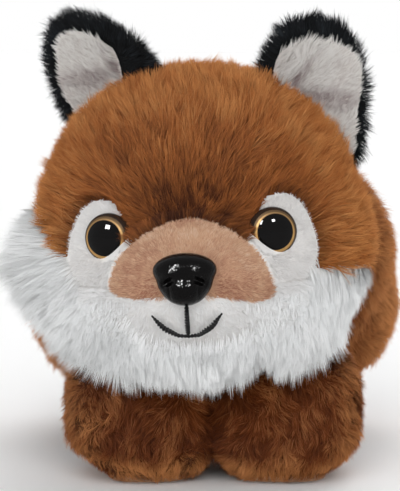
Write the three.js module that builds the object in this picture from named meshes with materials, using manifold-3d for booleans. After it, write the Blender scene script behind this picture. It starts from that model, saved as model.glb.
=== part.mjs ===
// Plush fox: a stuffed toy that stands on four short legs. A big round head of seven sewn panels
// sits on a wide, low body, with a moulded nose, two safety eyes, cupped ears and a bushy tail.
// Millimetres, +Z up. The fox looks along -Y, so +X is its own left side.

import * as THREE from 'three';
import { mergeVertices } from 'three/addons/utils/BufferGeometryUtils.js';
import Module from 'manifold-3d';

const wasm = await Module();
wasm.setup();

// Clearances and working sizes.
const seamGap = 0.3;
const weldDistance = 0.0001;
const cutterSpan = 420;
const coverThickness = 5;

// Head form, about the head's own centre.
const headCentreHeight = 105;
const headCentreForward = 70;
const headHalfWidth = 61.5;
const headHalfDepth = 57;
const headHalfHeight = 55.5;
const cheekHalfWidth = 31;
const cheekHalfDepth = 38;
const cheekHalfHeight = 30;
const cheekReach = 64;
const cheekForward = 12;
const cheekDrop = 19;
const muzzleHalfWidth = 33;
const muzzleHalfDepth = 34;
const muzzleHalfHeight = 24;
const muzzleReach = 79;
const muzzleDrop = 23;
const chinHalfWidth = 40;
const chinHalfDepth = 34;
const chinHalfHeight = 22;
const chinForward = 24;
const chinDrop = 33;
const headTurn = -4.2;
const headTilt = -2.6;
const headShift = 1.5;

// Neck, where the open ends of head and body are sewn together.
const neckForward = 36;
const neckPivotForward = 22;

// Body form, about the body's own centre.
const bodyCentreHeight = 79;
const bodyCentreBack = 3;
const bodyHalfWidth = 76;
const bodyHalfDepth = 71;
const bodyHalfHeight = 53;
const haunchHalfWidth = 36;
const haunchHalfDepth = 42;
const haunchHalfHeight = 33;
const haunchReach = 77;
const haunchBack = 27;
const haunchDrop = 28;
const chestHalfWidth = 48;
const chestHalfDepth = 38;
const chestHalfHeight = 26;
const chestReach = 88;
const chestDrop = 32;

// Legs: four stubby rounded columns.
const frontLegHalfWidth = 31;
const frontLegSpread = 27.2;
const frontLegHalfDepth = 30;
const frontLegHalfHeight = 30;
const frontLegCentreHeight = 26;
const frontLegForward = 67;
const hindLegHalfWidth = 27;
const hindLegHalfDepth = 29;
const hindLegHalfHeight = 29;
const hindLegCentreHeight = 25;
const hindLegBack = 41;
const hindLegSpread = 30;
const legSquareness = 2.9;
const soleThickness = 2;
const soleInset = 1.2;

// Face panels: outlines seen from the front, as shares of their half width and half height.
const muzzlePatchHalfWidth = 30.5;
const muzzlePatchHalfHeight = 15;
const muzzlePatchDrop = 14.5;
const muzzlePatchShares = [
  [0, 1], [0.46, 0.74], [0.8, 0.24], [0.95, -0.3], [1, -0.84],
  [0.85, -1], [0.4, -0.8], [0, -0.72],
];
const eyePatchHalfWidth = 14.5;
const eyePatchHalfHeight = 16;
const eyePatchSpread = 33.5;
const eyePatchDrop = 7.5;
const eyePatchShares = [
  [-0.85, 0.25], [-0.5, 0.88], [0, 1], [0.52, 0.8], [0.88, 0.25],
  [1, -0.4], [0.78, -0.95], [0, -1.05], [-0.5, -0.95], [-0.9, -0.4],
];
const chinPatchHalfWidth = 43;
const chinPatchHalfHeight = 17;
const chinPatchDrop = 35;
const chinPatchShares = [
  [0, 0.9], [0.7, 0.98], [1, 0.86], [0.96, 0.3], [0.78, -0.35], [0.46, -0.84], [0, -1],
];
const ruffHalfWidth = 100;
const ruffHalfHeight = 100;
const ruffEdgeShares = [[1, 0.02], [0.62, -0.04], [0.56, -0.1], [0.49, -0.165], [0.43, -0.2], [0, -0.21]];
const facePanelDepth = 15;

// Safety eye: a domed button with a gold ring let into it, on a ridged shank with a washer.
const eyeRadius = 9;
const eyeDomeHeight = 5.6;
const eyeRimThickness = 1.4;
const eyeRingOuterRadius = 8;
const eyeRingInnerRadius = 6.6;
const eyeRingDepth = 0.7;
const eyeSpread = 30;
const eyeDrop = 5.6;
const eyeTurnOut = 17;
const eyeLookUp = 2;
const eyeSink = 1.6;
const shankRadius = 2.4;
const shankLength = 13;
const shankRidge = 0.5;
const shankRidges = 3;
const washerRadius = 7;
const washerThickness = 1.5;
const washerHubRadius = 4.1;
const washerHubHeight = 3;
const washerRibs = 8;
const washerRibWidth = 0.9;
const washerRibHeight = 0.8;
const washerDepth = 8.2;

// Moulded nose: a wide upper bar and a lower lobe, with a nostril hollow at each side.
const noseHalfWidth = 11.4;
const noseBarHalfHeight = 6;
const noseHalfDepth = 7.6;
const noseBarRise = 3.2;
const noseLobeHalfWidth = 7;
const noseLobeHalfHeight = 5.4;
const noseLobeDrop = 4.2;
const noseBackDepth = 3;
const noseDrop = 18;
const noseProud = 1.4;
const noseRoomGap = 0.5;
const noseTiltUp = 10;
const nostrilSpread = 5.6;
const nostrilDrop = 2.6;
const nostrilHalfWidth = 2.6;
const nostrilHalfHeight = 1.3;
const nostrilHalfDepth = 2.6;
const nostrilSlope = 35;

// Mouth: one upright stitch and one smiling stitch of thick thread, laid on the chin panel.
const mouthThreadRadius = 0.75;
const mouthTop = 29;
const mouthBottom = 40.5;
const smileHalfWidth = 12.6;
const smileRise = 7.4;
const smileShares = [[-1, 1], [-0.68, 0.42], [-0.3, 0.06], [0, 0], [0.3, 0.06], [0.68, 0.42], [1, 1]];
const mouthSteps = 16;
const mouthSides = 6;

// Ears: a cupped black leaf with a white lining, hinged on a root bead let into the crown.
const earHeight = 38.5;
const earHalfWidth = 26;
const earHalfThickness = 4.6;
const earCentreShare = 0.04;
const earTaperShare = 0.04;
const earCup = 7;
const earLean = 4;
const earRootRadius = 4.2;
const earRootHalfLength = 25;
const earFoldAngle = 24;
const earSlotHeight = 20;
const earSlotEndRoom = 2.8;
const earSetBack = 5;
const earLeftPlaceAngle = 50;
const earLeftHingeLift = -5.8;
const earLeftTilt = 39.6;
const earLeftTurnOut = 10;
const earLeftLeanShare = 0.25;
const earRightPlaceAngle = 34.5;
const earRightHingeLift = -2.8;
const earRightTilt = 32;
const earRightTurnOut = 29;
const earRightLeanShare = 0;
const liningLeftHalfWidth = 20;
const liningLeftTop = 33;
const liningRightHalfWidth = 17.5;
const liningRightTop = 30;
const liningHalfThickness = 2;
const liningCentreShare = 0.25;
const liningShift = 3.5;
const liningProud = 3.4;

// Tail: a bushy brush that hinges on a root bead let into the rump.
const tailRootHeight = 74;
const tailRootRadius = 9.5;
const tailHingeLift = -1;
const tailLength = 80;
const tailDroop = 8;
const tailUpturn = 14;
const tailMidRadius = 19.5;
const tailTipLength = 27;
const tailLiftAngle = 40;
const tailDropAngle = 20;
const tailRadiusShares = [[0, 0.46], [0.16, 0.74], [0.42, 1], [0.7, 0.94], [0.88, 0.66], [1, 0.2]];

// Facet counts.
const headRings = 20;
const headSides = 32;
const bodyRings = 14;
const bodySides = 24;
const innerRings = 9;
const innerSides = 16;
const legRings = 11;
const legSides = 14;
const leafRings = 11;
const leafSides = 16;
const roundSides = 24;
const roomSides = 14;
const noseRings = 14;
const noseRoomSides = 18;
const outlineSteps = 24;
const frontCrowding = 1.3;

const up = new THREE.Vector3(0, 0, 1);

function degrees(angle) {
  return THREE.MathUtils.degToRad(angle);
}

function finish(colour, roughness) {
  return new THREE.MeshStandardMaterial({ color: colour, roughness, metalness: 0 });
}

const brownPlush = finish(0x9a5a2c, 0.95);
const bodyPlush = finish(0x7a4423, 0.95);
const whitePlush = finish(0xdadcdc, 0.95);
const shortWhitePlush = finish(0xd2d3d1, 0.9);
const tanPlush = finish(0xbf9373, 0.9);
const blackPlush = finish(0x141418, 0.95);
const liningPlush = finish(0xc8c3bf, 0.9);
const stuffing = finish(0xe8e6e0, 1);
const blackPlastic = finish(0x08080a, 0.12);
const washerPlastic = finish(0xd8d8d4, 0.5);
const goldRing = new THREE.MeshStandardMaterial({ color: 0xb07c3a, roughness: 0.3, metalness: 0.8 });
const blackThread = finish(0x0c0c0d, 0.7);

// A closed geometry becomes a solid that can be cut, optionally moved by a matrix first.
function solid(geometry, matrix) {
  const bare = geometry.clone();
  bare.deleteAttribute('normal');
  bare.deleteAttribute('uv');
  if (matrix) {
    bare.applyMatrix4(matrix);
  }
  const welded = mergeVertices(bare, weldDistance);
  return new wasm.Manifold(new wasm.Mesh({
    numProp: 3,
    vertProperties: new Float32Array(welded.attributes.position.array),
    triVerts: new Uint32Array(welded.index.array),
  }));
}

function geometryOf(piece) {
  const mesh = piece.getMesh();
  const geometry = new THREE.BufferGeometry();
  geometry.setAttribute('position', new THREE.BufferAttribute(new Float32Array(mesh.vertProperties), 3));
  geometry.setIndex(new THREE.BufferAttribute(new Uint32Array(mesh.triVerts), 1));
  geometry.computeVertexNormals();
  return geometry;
}

function addPiece(parent, name, geometry, material) {
  const mesh = new THREE.Mesh(geometry, material);
  mesh.name = name;
  parent.add(mesh);
  return mesh;
}

function without(piece, cutters) {
  let rest = piece;
  for (const cutter of cutters) {
    rest = rest.subtract(cutter);
  }
  return rest;
}

// A swelling is an ellipsoid about its own centre. Its reach is how far it goes from the form's
// origin along a direction, and zero where it isn't met.
function swellingReach(direction, swelling) {
  const scaled = direction.clone().divide(swelling.radii);
  const offset = swelling.centre.clone().divide(swelling.radii);
  const square = scaled.dot(scaled);
  const along = scaled.dot(offset);
  const root = along * along - square * (offset.dot(offset) - 1);
  if (root < 0) {
    return 0;
  }
  return Math.max(0, (along + Math.sqrt(root)) / square);
}

function formReach(form, direction) {
  if (form.squareness) {
    const share = direction.clone().divide(form.radii);
    const sum = Math.abs(share.x) ** form.squareness
      + Math.abs(share.y) ** form.squareness
      + Math.abs(share.z) ** form.squareness;
    return sum ** (-1 / form.squareness);
  }
  let sum = 0;
  for (const swelling of form.swellings) {
    sum += swellingReach(direction, swelling) ** form.blend;
  }
  return sum ** (1 / form.blend);
}

// A ball whose vertices are moved out to the form, with its rings crowded toward the front.
function formGeometry(form, rings, sides, growth) {
  const geometry = new THREE.SphereGeometry(1, sides, rings);
  if (form.standing) {
    geometry.rotateX(Math.PI / 2);
  }
  const points = geometry.attributes.position;
  const direction = new THREE.Vector3();
  for (let i = 0; i < points.count; i += 1) {
    direction.fromBufferAttribute(points, i);
    if (!form.standing) {
      const angle = Math.acos(THREE.MathUtils.clamp(-direction.y, -1, 1));
      const crowded = Math.PI * (angle / Math.PI) ** frontCrowding;
      const around = Math.atan2(direction.z, direction.x);
      direction.set(
        Math.sin(crowded) * Math.cos(around),
        -Math.cos(crowded),
        Math.sin(crowded) * Math.sin(around),
      );
    }
    direction.normalize();
    const length = formReach(form, direction) + growth;
    points.setXYZ(i, direction.x * length, direction.y * length, direction.z * length);
  }
  geometry.translate(form.origin.x, form.origin.y, form.origin.z);
  return geometry;
}

// The y of the form's front surface at a place seen from the front.
function frontOf(form, x, z, growth) {
  let outside = -cutterSpan;
  let inside = 0;
  for (let step = 0; step < 40; step += 1) {
    const middle = (outside + inside) / 2;
    const point = new THREE.Vector3(x, middle, z);
    const length = point.length();
    if (length > formReach(form, point.normalize()) + growth) {
      outside = middle;
    } else {
      inside = middle;
    }
  }
  return inside;
}

function placed(x, y, z) {
  return new THREE.Vector3(x, y, z);
}

const headForm = {
  origin: placed(0, 0, 0),
  blend: 9,
  swellings: [
    { centre: placed(0, 0, 0), radii: placed(headHalfWidth, headHalfDepth, headHalfHeight) },
    { centre: placed(0, muzzleHalfDepth - muzzleReach, -muzzleDrop),
      radii: placed(muzzleHalfWidth, muzzleHalfDepth, muzzleHalfHeight) },
    { centre: placed(0, -chinForward, -chinDrop),
      radii: placed(chinHalfWidth, chinHalfDepth, chinHalfHeight) },
  ],
};
const bodyForm = {
  origin: placed(0, bodyCentreBack, bodyCentreHeight),
  blend: 9,
  swellings: [
    { centre: placed(0, 0, 0), radii: placed(bodyHalfWidth, bodyHalfDepth, bodyHalfHeight) },
    { centre: placed(0, chestHalfDepth - chestReach - bodyCentreBack, -chestDrop),
      radii: placed(chestHalfWidth, chestHalfDepth, chestHalfHeight) },
  ],
};
for (const side of [-1, 1]) {
  headForm.swellings.push({
    centre: placed(side * (cheekReach - cheekHalfWidth), -cheekForward, -cheekDrop),
    radii: placed(cheekHalfWidth, cheekHalfDepth, cheekHalfHeight),
  });
  bodyForm.swellings.push({
    centre: placed(side * (haunchReach - haunchHalfWidth), haunchBack, -haunchDrop),
    radii: placed(haunchHalfWidth, haunchHalfDepth, haunchHalfHeight),
  });
}

// The scene graph: the head turns about the neck, and the ears and tail stand on their hinges.
const fox = new THREE.Group();
const toy = new THREE.Group();
const neck = new THREE.Group();
const head = new THREE.Group();
fox.add(toy);
toy.add(neck);
neck.add(head);
neck.position.set(-headShift, -neckPivotForward, 0);
neck.rotation.z = degrees(headTurn);
head.position.set(0, neckPivotForward - headCentreForward, headCentreHeight);
head.rotation.y = degrees(headTilt);
fox.updateMatrixWorld(true);
const headInToy = head.matrixWorld.clone();
const toyInHead = headInToy.clone().invert();

// Everything behind the neck seam, as a block in the toy's frame.
function behindNeck(growth) {
  const block = new THREE.BoxGeometry(cutterSpan, cutterSpan, cutterSpan);
  block.translate(0, cutterSpan / 2 - neckForward - growth, 0);
  return block;
}

// Behind the neck seam the head gives way to the body, and before it the body to the head.
const bodyBehindNeck = solid(formGeometry(bodyForm, bodyRings, bodySides, seamGap), toyInHead)
  .intersect(solid(behindNeck(seamGap / 2), toyInHead));
const headOuter = solid(formGeometry(headForm, headRings, headSides, 0)).subtract(bodyBehindNeck);
const headInner = solid(formGeometry(headForm, innerRings, innerSides, -coverThickness));
const headGrownInToy = solid(formGeometry(headForm, headRings, headSides, seamGap), headInToy)
  .subtract(solid(behindNeck(-seamGap / 2)));

function smoothOutline(shares, halfWidth, halfHeight, centreX, centreZ, mirrored) {
  const points = [];
  for (const [across, rise] of shares) {
    points.push(placed(centreX + across * halfWidth, centreZ + rise * halfHeight, 0));
  }
  if (mirrored) {
    for (let i = shares.length - 2; i > 0; i -= 1) {
      const [across, rise] = shares[i];
      points.push(placed(centreX - across * halfWidth, centreZ + rise * halfHeight, 0));
    }
  }
  const curve = new THREE.CatmullRomCurve3(points, true);
  const outline = [];
  for (let i = 0; i < outlineSteps; i += 1) {
    const point = curve.getPoint(i / outlineSteps);
    outline.push(new THREE.Vector2(point.x, point.y));
  }
  return outline;
}

// The same outline drawn in by an even margin, so that two panels leave a seam between them.
function drawnIn(outline, margin) {
  const sense = THREE.ShapeUtils.isClockWise(outline) ? -1 : 1;
  const count = outline.length;
  return outline.map((point, i) => {
    const before = outline[(i + count - 1) % count];
    const after = outline[(i + 1) % count];
    const along = after.clone().sub(before).normalize();
    return new THREE.Vector2(
      point.x - sense * margin * along.y,
      point.y + sense * margin * along.x,
    );
  });
}

// A panel cutter: the outline pushed through the front of the head.
function frontPrism(outline, nearest) {
  const prism = new THREE.ExtrudeGeometry(new THREE.Shape(outline), {
    depth: cutterSpan,
    bevelEnabled: false,
  });
  prism.rotateX(Math.PI / 2);
  prism.translate(0, -nearest, 0);
  return solid(prism);
}

// A turned solid about its own Z axis, from an outline of [radius, height] pairs.
function turned(outline, sides) {
  const points = outline.map(([radius, height]) => new THREE.Vector2(radius, height));
  const geometry = new THREE.LatheGeometry(points, sides);
  geometry.rotateX(Math.PI / 2);
  return geometry;
}

function domeHeight(radius) {
  return eyeDomeHeight * Math.sqrt(1 - (radius / eyeRadius) ** 2);
}

function eyeGeometry() {
  const outline = [[0, -shankLength], [shankRadius - shankRidge, -shankLength]];
  const ridgeFrom = shankLength - eyeRimThickness;
  for (let i = 0; i < shankRidges; i += 1) {
    const low = -shankLength + ridgeFrom * (i + 0.5) / (shankRidges + 1);
    outline.push([shankRadius, low]);
    outline.push([shankRadius - shankRidge, low + ridgeFrom / (shankRidges + 1) / 2]);
  }
  outline.push([shankRadius, -eyeRimThickness]);
  outline.push([eyeRadius, -eyeRimThickness]);
  outline.push([eyeRadius, 0]);
  outline.push([(eyeRadius + eyeRingOuterRadius + seamGap) / 2,
    domeHeight((eyeRadius + eyeRingOuterRadius + seamGap) / 2)]);
  const outer = eyeRingOuterRadius + seamGap;
  const inner = eyeRingInnerRadius - seamGap;
  outline.push([outer, domeHeight(outer)]);
  outline.push([outer, domeHeight(outer) - eyeRingDepth - seamGap]);
  outline.push([inner, domeHeight(inner) - eyeRingDepth - seamGap]);
  outline.push([inner, domeHeight(inner)]);
  for (const share of [0.75, 0.5, 0.25]) {
    outline.push([inner * share, domeHeight(inner * share)]);
  }
  outline.push([0, eyeDomeHeight]);
  return turned(outline, roundSides);
}

function eyeRingGeometry() {
  const middle = (eyeRingOuterRadius + eyeRingInnerRadius) / 2;
  return turned([
    [eyeRingInnerRadius, domeHeight(eyeRingInnerRadius) - eyeRingDepth],
    [eyeRingOuterRadius, domeHeight(eyeRingOuterRadius) - eyeRingDepth],
    [eyeRingOuterRadius, domeHeight(eyeRingOuterRadius)],
    [middle, domeHeight(middle)],
    [eyeRingInnerRadius, domeHeight(eyeRingInnerRadius)],
    [eyeRingInnerRadius, domeHeight(eyeRingInnerRadius) - eyeRingDepth],
  ], roundSides);
}

// The washer's hub faces the shank's end, and its ribs stiffen the disc around the hub.
function washerSolid() {
  const bore = shankRadius + seamGap;
  let washer = solid(turned([
    [bore, -washerThickness - washerHubHeight],
    [washerHubRadius, -washerThickness - washerHubHeight],
    [washerHubRadius, -washerThickness],
    [washerRadius, -washerThickness],
    [washerRadius, 0],
    [bore, 0],
    [bore, -washerThickness - washerHubHeight],
  ], roomSides));
  const ribLength = washerRadius - (bore + washerHubRadius) / 2;
  for (let i = 0; i < washerRibs; i += 1) {
    const rib = new THREE.BoxGeometry(ribLength, washerRibWidth, washerRibHeight + washerThickness / 2);
    rib.translate(washerRadius - ribLength / 2 - washerRibWidth / 2, 0,
      -washerThickness - washerRibHeight / 2 + washerThickness / 4);
    rib.rotateZ(2 * Math.PI * i / washerRibs);
    washer = washer.add(solid(rib));
  }
  return washer;
}

// The room that a button, its shank and its washer take in the covers and the stuffing.
function hardwareRoom(buttonRadius, backDepth) {
  const shankRoom = shankRadius + seamGap;
  return turned([
    [0, -shankLength - seamGap],
    [shankRoom + seamGap, -shankLength - seamGap],
    [shankRoom + seamGap, -washerDepth - washerThickness - washerHubHeight - seamGap],
    [washerHubRadius + seamGap, -washerDepth - washerThickness - washerHubHeight - seamGap],
    [washerHubRadius + seamGap, -washerDepth - washerThickness - washerRibHeight - seamGap],
    [washerRadius + seamGap, -washerDepth - washerThickness - washerRibHeight - seamGap],
    [washerRadius + seamGap, -washerDepth + seamGap],
    [shankRoom, -washerDepth + seamGap],
    [shankRoom, -backDepth - seamGap],
    [buttonRadius + seamGap, -backDepth - seamGap],
    [buttonRadius + seamGap, cutterSpan / 2],
    [0, cutterSpan / 2],
  ], roomSides);
}

// The plainer room that the stuffing keeps for a shank and its washer.
function stuffingRoom(buttonRadius, backDepth) {
  return turned([
    [0, -shankLength - seamGap],
    [washerHubRadius + seamGap, -shankLength - seamGap],
    [washerRadius + seamGap, -washerDepth - washerThickness - washerRibHeight - seamGap],
    [washerRadius + seamGap, -washerDepth + seamGap],
    [buttonRadius + seamGap, -backDepth - seamGap],
    [buttonRadius + seamGap, cutterSpan / 2],
    [0, cutterSpan / 2],
  ], roomSides);
}

function aimed(parent, position, aim) {
  const group = new THREE.Group();
  group.position.copy(position);
  group.quaternion.setFromUnitVectors(up, aim.normalize());
  group.updateMatrix();
  parent.add(group);
  return group;
}

// Eyes.
const hardwareRooms = [];
const stuffingRooms = [];
for (const [name, side] of [['left', 1], ['right', -1]]) {
  const x = side * eyeSpread;
  const y = frontOf(headForm, x, -eyeDrop, -eyeSink);
  const turn = degrees(eyeTurnOut);
  const aim = placed(side * Math.sin(turn), -Math.cos(turn), Math.sin(degrees(eyeLookUp)));
  const eye = aimed(head, placed(x, y, -eyeDrop), aim);
  addPiece(eye, `eye_${name}`, eyeGeometry(), blackPlastic);
  addPiece(eye, `eye_ring_${name}`, eyeRingGeometry(), goldRing);
  const washer = addPiece(eye, `eye_washer_${name}`, geometryOf(washerSolid()), washerPlastic);
  washer.position.z = -washerDepth;
  hardwareRooms.push(solid(hardwareRoom(eyeRadius, eyeRimThickness), eye.matrix));
  stuffingRooms.push(solid(stuffingRoom(eyeRadius, eyeRimThickness), eye.matrix));
}

// Nose: modelled facing -Y, then its shank and washer are set along the same line.
const noseForm = {
  origin: placed(0, 0, 0),
  blend: 7,
  swellings: [
    { centre: placed(0, 0, noseBarRise), radii: placed(noseHalfWidth, noseHalfDepth, noseBarHalfHeight) },
    { centre: placed(0, 0, -noseLobeDrop),
      radii: placed(noseLobeHalfWidth, noseHalfDepth, noseLobeHalfHeight) },
  ],
};

function noseSolid() {
  const back = new THREE.BoxGeometry(cutterSpan, cutterSpan, cutterSpan);
  back.translate(0, noseBackDepth + cutterSpan / 2, 0);
  let piece = solid(formGeometry(noseForm, noseRings, roundSides, 0)).subtract(solid(back));
  const shank = new THREE.CylinderGeometry(shankRadius, shankRadius, shankLength, roomSides);
  shank.translate(0, shankLength / 2, 0);
  piece = piece.add(solid(shank));
  for (const side of [-1, 1]) {
    const nostril = new THREE.SphereGeometry(1, roomSides, innerRings);
    nostril.scale(nostrilHalfWidth, nostrilHalfDepth, nostrilHalfHeight);
    nostril.rotateY(degrees(-side * nostrilSlope));
    nostril.translate(side * nostrilSpread, frontOf(noseForm, nostrilSpread, -nostrilDrop, 0), -nostrilDrop);
    piece = piece.subtract(solid(nostril));
  }
  return piece;
}

const nose = new THREE.Group();
nose.position.set(0, frontOf(headForm, 0, -noseDrop, 0) - noseProud, -noseDrop);
nose.rotation.x = degrees(-noseTiltUp);
head.add(nose);
nose.updateMatrix();
addPiece(nose, 'nose', geometryOf(noseSolid()), blackPlastic);
const noseWasher = addPiece(nose, 'nose_washer', geometryOf(washerSolid()), washerPlastic);
noseWasher.rotation.x = Math.PI / 2;
noseWasher.position.y = washerDepth;
const noseLine = new THREE.Matrix4().makeRotationX(Math.PI / 2);
noseLine.premultiply(nose.matrix);
hardwareRooms.push(solid(hardwareRoom(washerHubRadius, 0), noseLine));
stuffingRooms.push(solid(stuffingRoom(washerRadius, 0), noseLine));
const noseRoom = solid(formGeometry(noseForm, innerRings, noseRoomSides, noseRoomGap), nose.matrix);

// Ears: the leaf, in its own frame, has its root bead on the X axis and its front toward -Y.
function leafGeometry(leaf, growth) {
  const { side, halfWidth, halfThickness, bottom, top, shift, proud, leanShare } = leaf;
  const geometry = new THREE.SphereGeometry(1, leafSides, leafRings);
  geometry.rotateX(Math.PI / 2);
  const points = geometry.attributes.position;
  for (let i = 0; i < points.count; i += 1) {
    const rise = points.getZ(i);
    const z = (top + bottom) / 2 + rise * ((top - bottom) / 2 + growth);
    const x = side * shift + points.getX(i) * (halfWidth + growth) * (1 - earTaperShare * rise);
    const height = THREE.MathUtils.clamp(z / earHeight, 0, 1);
    const curl = earCup * height * (x / earHalfWidth) ** 2;
    const y = points.getY(i) * (halfThickness + growth) - proud - curl - earLean * height ** 2;
    points.setXYZ(i, x - side * leanShare * Math.max(z, 0), y, z);
  }
  return geometry;
}

function below(height) {
  const block = new THREE.BoxGeometry(cutterSpan, cutterSpan, cutterSpan);
  block.translate(0, 0, height - cutterSpan / 2);
  return solid(block);
}

function beadGeometry(radius, halfLength) {
  const bead = new THREE.CylinderGeometry(radius, radius, 2 * halfLength, innerSides);
  bead.rotateZ(Math.PI / 2);
  return bead;
}

// The slot in the crown: a wedge as wide as the leaf and its lining sweep when they fold.
function earSlotGeometry() {
  const fold = degrees(earFoldAngle);
  const wall = new THREE.Vector2(Math.sin(fold), Math.cos(fold)).multiplyScalar(earSlotHeight);
  const across = new THREE.Vector2(Math.cos(fold), -Math.sin(fold));
  const beadFoot = across.clone().multiplyScalar(earRootRadius + seamGap);
  const backFoot = across.clone().multiplyScalar(earHalfThickness + seamGap);
  const liningFront = liningProud + liningHalfThickness + 2 * seamGap;
  const frontFoot = new THREE.Vector2((liningFront - seamGap * Math.sin(fold)) / Math.cos(fold), -seamGap);
  const backHead = backFoot.clone().add(wall);
  const frontHead = frontFoot.clone().add(wall);
  const section = new THREE.Shape([
    new THREE.Vector2(-beadFoot.x, beadFoot.y),
    new THREE.Vector2(-frontFoot.x, frontFoot.y),
    new THREE.Vector2(-frontHead.x, frontHead.y),
    backHead,
    backFoot,
  ]);
  const length = 2 * (earHalfWidth + earSlotEndRoom);
  const slot = new THREE.ExtrudeGeometry(section, { depth: length, bevelEnabled: false });
  slot.translate(0, 0, -length / 2);
  slot.rotateY(Math.PI / 2);
  slot.rotateX(Math.PI / 2);
  return slot;
}

const earRooms = [];
for (const [name, side, placeAngle, hingeLift, tilt, turnOut, leanShare, liningHalfWidth, liningTop] of [
  ['left', 1, earLeftPlaceAngle, earLeftHingeLift, earLeftTilt, earLeftTurnOut,
    earLeftLeanShare, liningLeftHalfWidth, liningLeftTop],
  ['right', -1, earRightPlaceAngle, earRightHingeLift, earRightTilt, earRightTurnOut,
    earRightLeanShare, liningRightHalfWidth, liningRightTop],
]) {
  const place = degrees(placeAngle);
  const back = degrees(earSetBack);
  const direction = placed(
    side * Math.sin(place) * Math.cos(back),
    Math.sin(back),
    Math.cos(place) * Math.cos(back),
  );
  const ear = new THREE.Group();
  ear.name = `ear_${name}_hinge`;
  ear.position.copy(direction.clone().multiplyScalar(formReach(headForm, direction) + hingeLift));
  ear.rotation.set(0, side * degrees(tilt), side * degrees(turnOut));
  head.add(ear);
  ear.updateMatrix();
  const leafForm = {
    side,
    halfWidth: earHalfWidth,
    halfThickness: earHalfThickness,
    bottom: earHeight * (2 * earCentreShare - 1),
    top: earHeight,
    shift: 0,
    proud: 0,
    leanShare,
  };
  const liningBottom = earRootRadius;
  const liningForm = {
    side,
    halfWidth: liningHalfWidth,
    halfThickness: liningHalfThickness,
    bottom: liningTop - (liningTop - liningBottom) / (1 - liningCentreShare),
    top: liningTop,
    shift: liningShift,
    proud: liningProud,
    leanShare,
  };
  const outer = solid(leafGeometry(leafForm, 0)).subtract(below(0))
    .add(solid(beadGeometry(earRootRadius, earRootHalfLength)));
  const room = solid(leafGeometry(liningForm, seamGap)).subtract(below(liningBottom - seamGap));
  const lining = solid(leafGeometry(liningForm, 0)).subtract(below(liningBottom));
  addPiece(ear, `ear_outer_${name}`, geometryOf(outer.subtract(room)), blackPlush);
  addPiece(ear, `ear_inner_${name}`, geometryOf(lining), liningPlush);
  earRooms.push(solid(earSlotGeometry(), ear.matrix)
    .add(solid(beadGeometry(earRootRadius + seamGap, earRootHalfLength + seamGap), ear.matrix)));
}

// Head covers: one shell, cut along the seams into its panels.
let cover = without(headOuter.subtract(headInner), [...hardwareRooms, ...earRooms, noseRoom]);
const muzzleOutline = smoothOutline(muzzlePatchShares, muzzlePatchHalfWidth, muzzlePatchHalfHeight,
  0, -muzzlePatchDrop, true);
const muzzlePanel = cover.intersect(frontPrism(drawnIn(muzzleOutline, seamGap), facePanelDepth));
addPiece(head, 'muzzle_top', geometryOf(muzzlePanel), tanPlush);
cover = cover.subtract(frontPrism(muzzleOutline, facePanelDepth));
for (const [name, side] of [['left', 1], ['right', -1]]) {
  const outline = smoothOutline(eyePatchShares, side * eyePatchHalfWidth, eyePatchHalfHeight,
    side * eyePatchSpread, -eyePatchDrop, false);
  const panel = cover.intersect(frontPrism(drawnIn(outline, seamGap), facePanelDepth));
  addPiece(head, `eye_patch_${name}`, geometryOf(panel), shortWhitePlush);
  cover = cover.subtract(frontPrism(outline, facePanelDepth));
}
const chinOutline = smoothOutline(chinPatchShares, chinPatchHalfWidth, chinPatchHalfHeight,
  0, -chinPatchDrop, true);
const chinPanel = cover.intersect(frontPrism(drawnIn(chinOutline, seamGap), facePanelDepth));
addPiece(head, 'chin_panel', geometryOf(chinPanel), shortWhitePlush);
cover = cover.subtract(frontPrism(chinOutline, facePanelDepth));

function ruffOutline(side, margin) {
  const outline = ruffEdgeShares.map(([across, rise]) => new THREE.Vector2(
    side * Math.max(across * ruffHalfWidth, margin),
    rise * ruffHalfHeight - margin,
  ));
  outline.push(new THREE.Vector2(side * margin, -ruffHalfHeight));
  outline.push(new THREE.Vector2(side * ruffHalfWidth, -ruffHalfHeight));
  return outline;
}

for (const [name, side] of [['left', 1], ['right', -1]]) {
  const panel = cover.intersect(frontPrism(ruffOutline(side, seamGap), -cutterSpan / 2));
  addPiece(head, `cheek_ruff_${name}`, geometryOf(panel), whitePlush);
}
for (const side of [1, -1]) {
  cover = cover.subtract(frontPrism(ruffOutline(side, 0), -cutterSpan / 2));
}
addPiece(head, 'head_crown', geometryOf(cover), brownPlush);

const headStuffing = solid(formGeometry(headForm, innerRings, innerSides, -coverThickness - seamGap))
  .subtract(bodyBehindNeck);
addPiece(head, 'head_filling', geometryOf(without(headStuffing, [...stuffingRooms, ...earRooms])), stuffing);

// Mouth stitches, laid along the chin panel.
function stitchGeometry(places) {
  const lift = mouthThreadRadius + seamGap;
  const points = places.map(([x, z]) => placed(x, frontOf(headForm, x, z, lift), z));
  const path = new THREE.CatmullRomCurve3(points);
  const section = new THREE.Shape(
    new THREE.EllipseCurve(0, 0, mouthThreadRadius, mouthThreadRadius).getPoints(mouthSides).slice(1),
  );
  return new THREE.ExtrudeGeometry(section, { steps: mouthSteps, extrudePath: path, bevelEnabled: false });
}

const smilePlaces = smileShares.map(([across, rise]) => [
  across * smileHalfWidth,
  rise * smileRise - mouthBottom,
]);
addPiece(head, 'mouth_smile', stitchGeometry(smilePlaces), blackThread);
const lineEnd = mouthBottom - 2 * mouthThreadRadius - seamGap;
const linePlaces = [[0, -mouthTop], [0, -(mouthTop + lineEnd) / 2], [0, -lineEnd]];
addPiece(head, 'mouth_line', stitchGeometry(linePlaces), blackThread);

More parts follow.
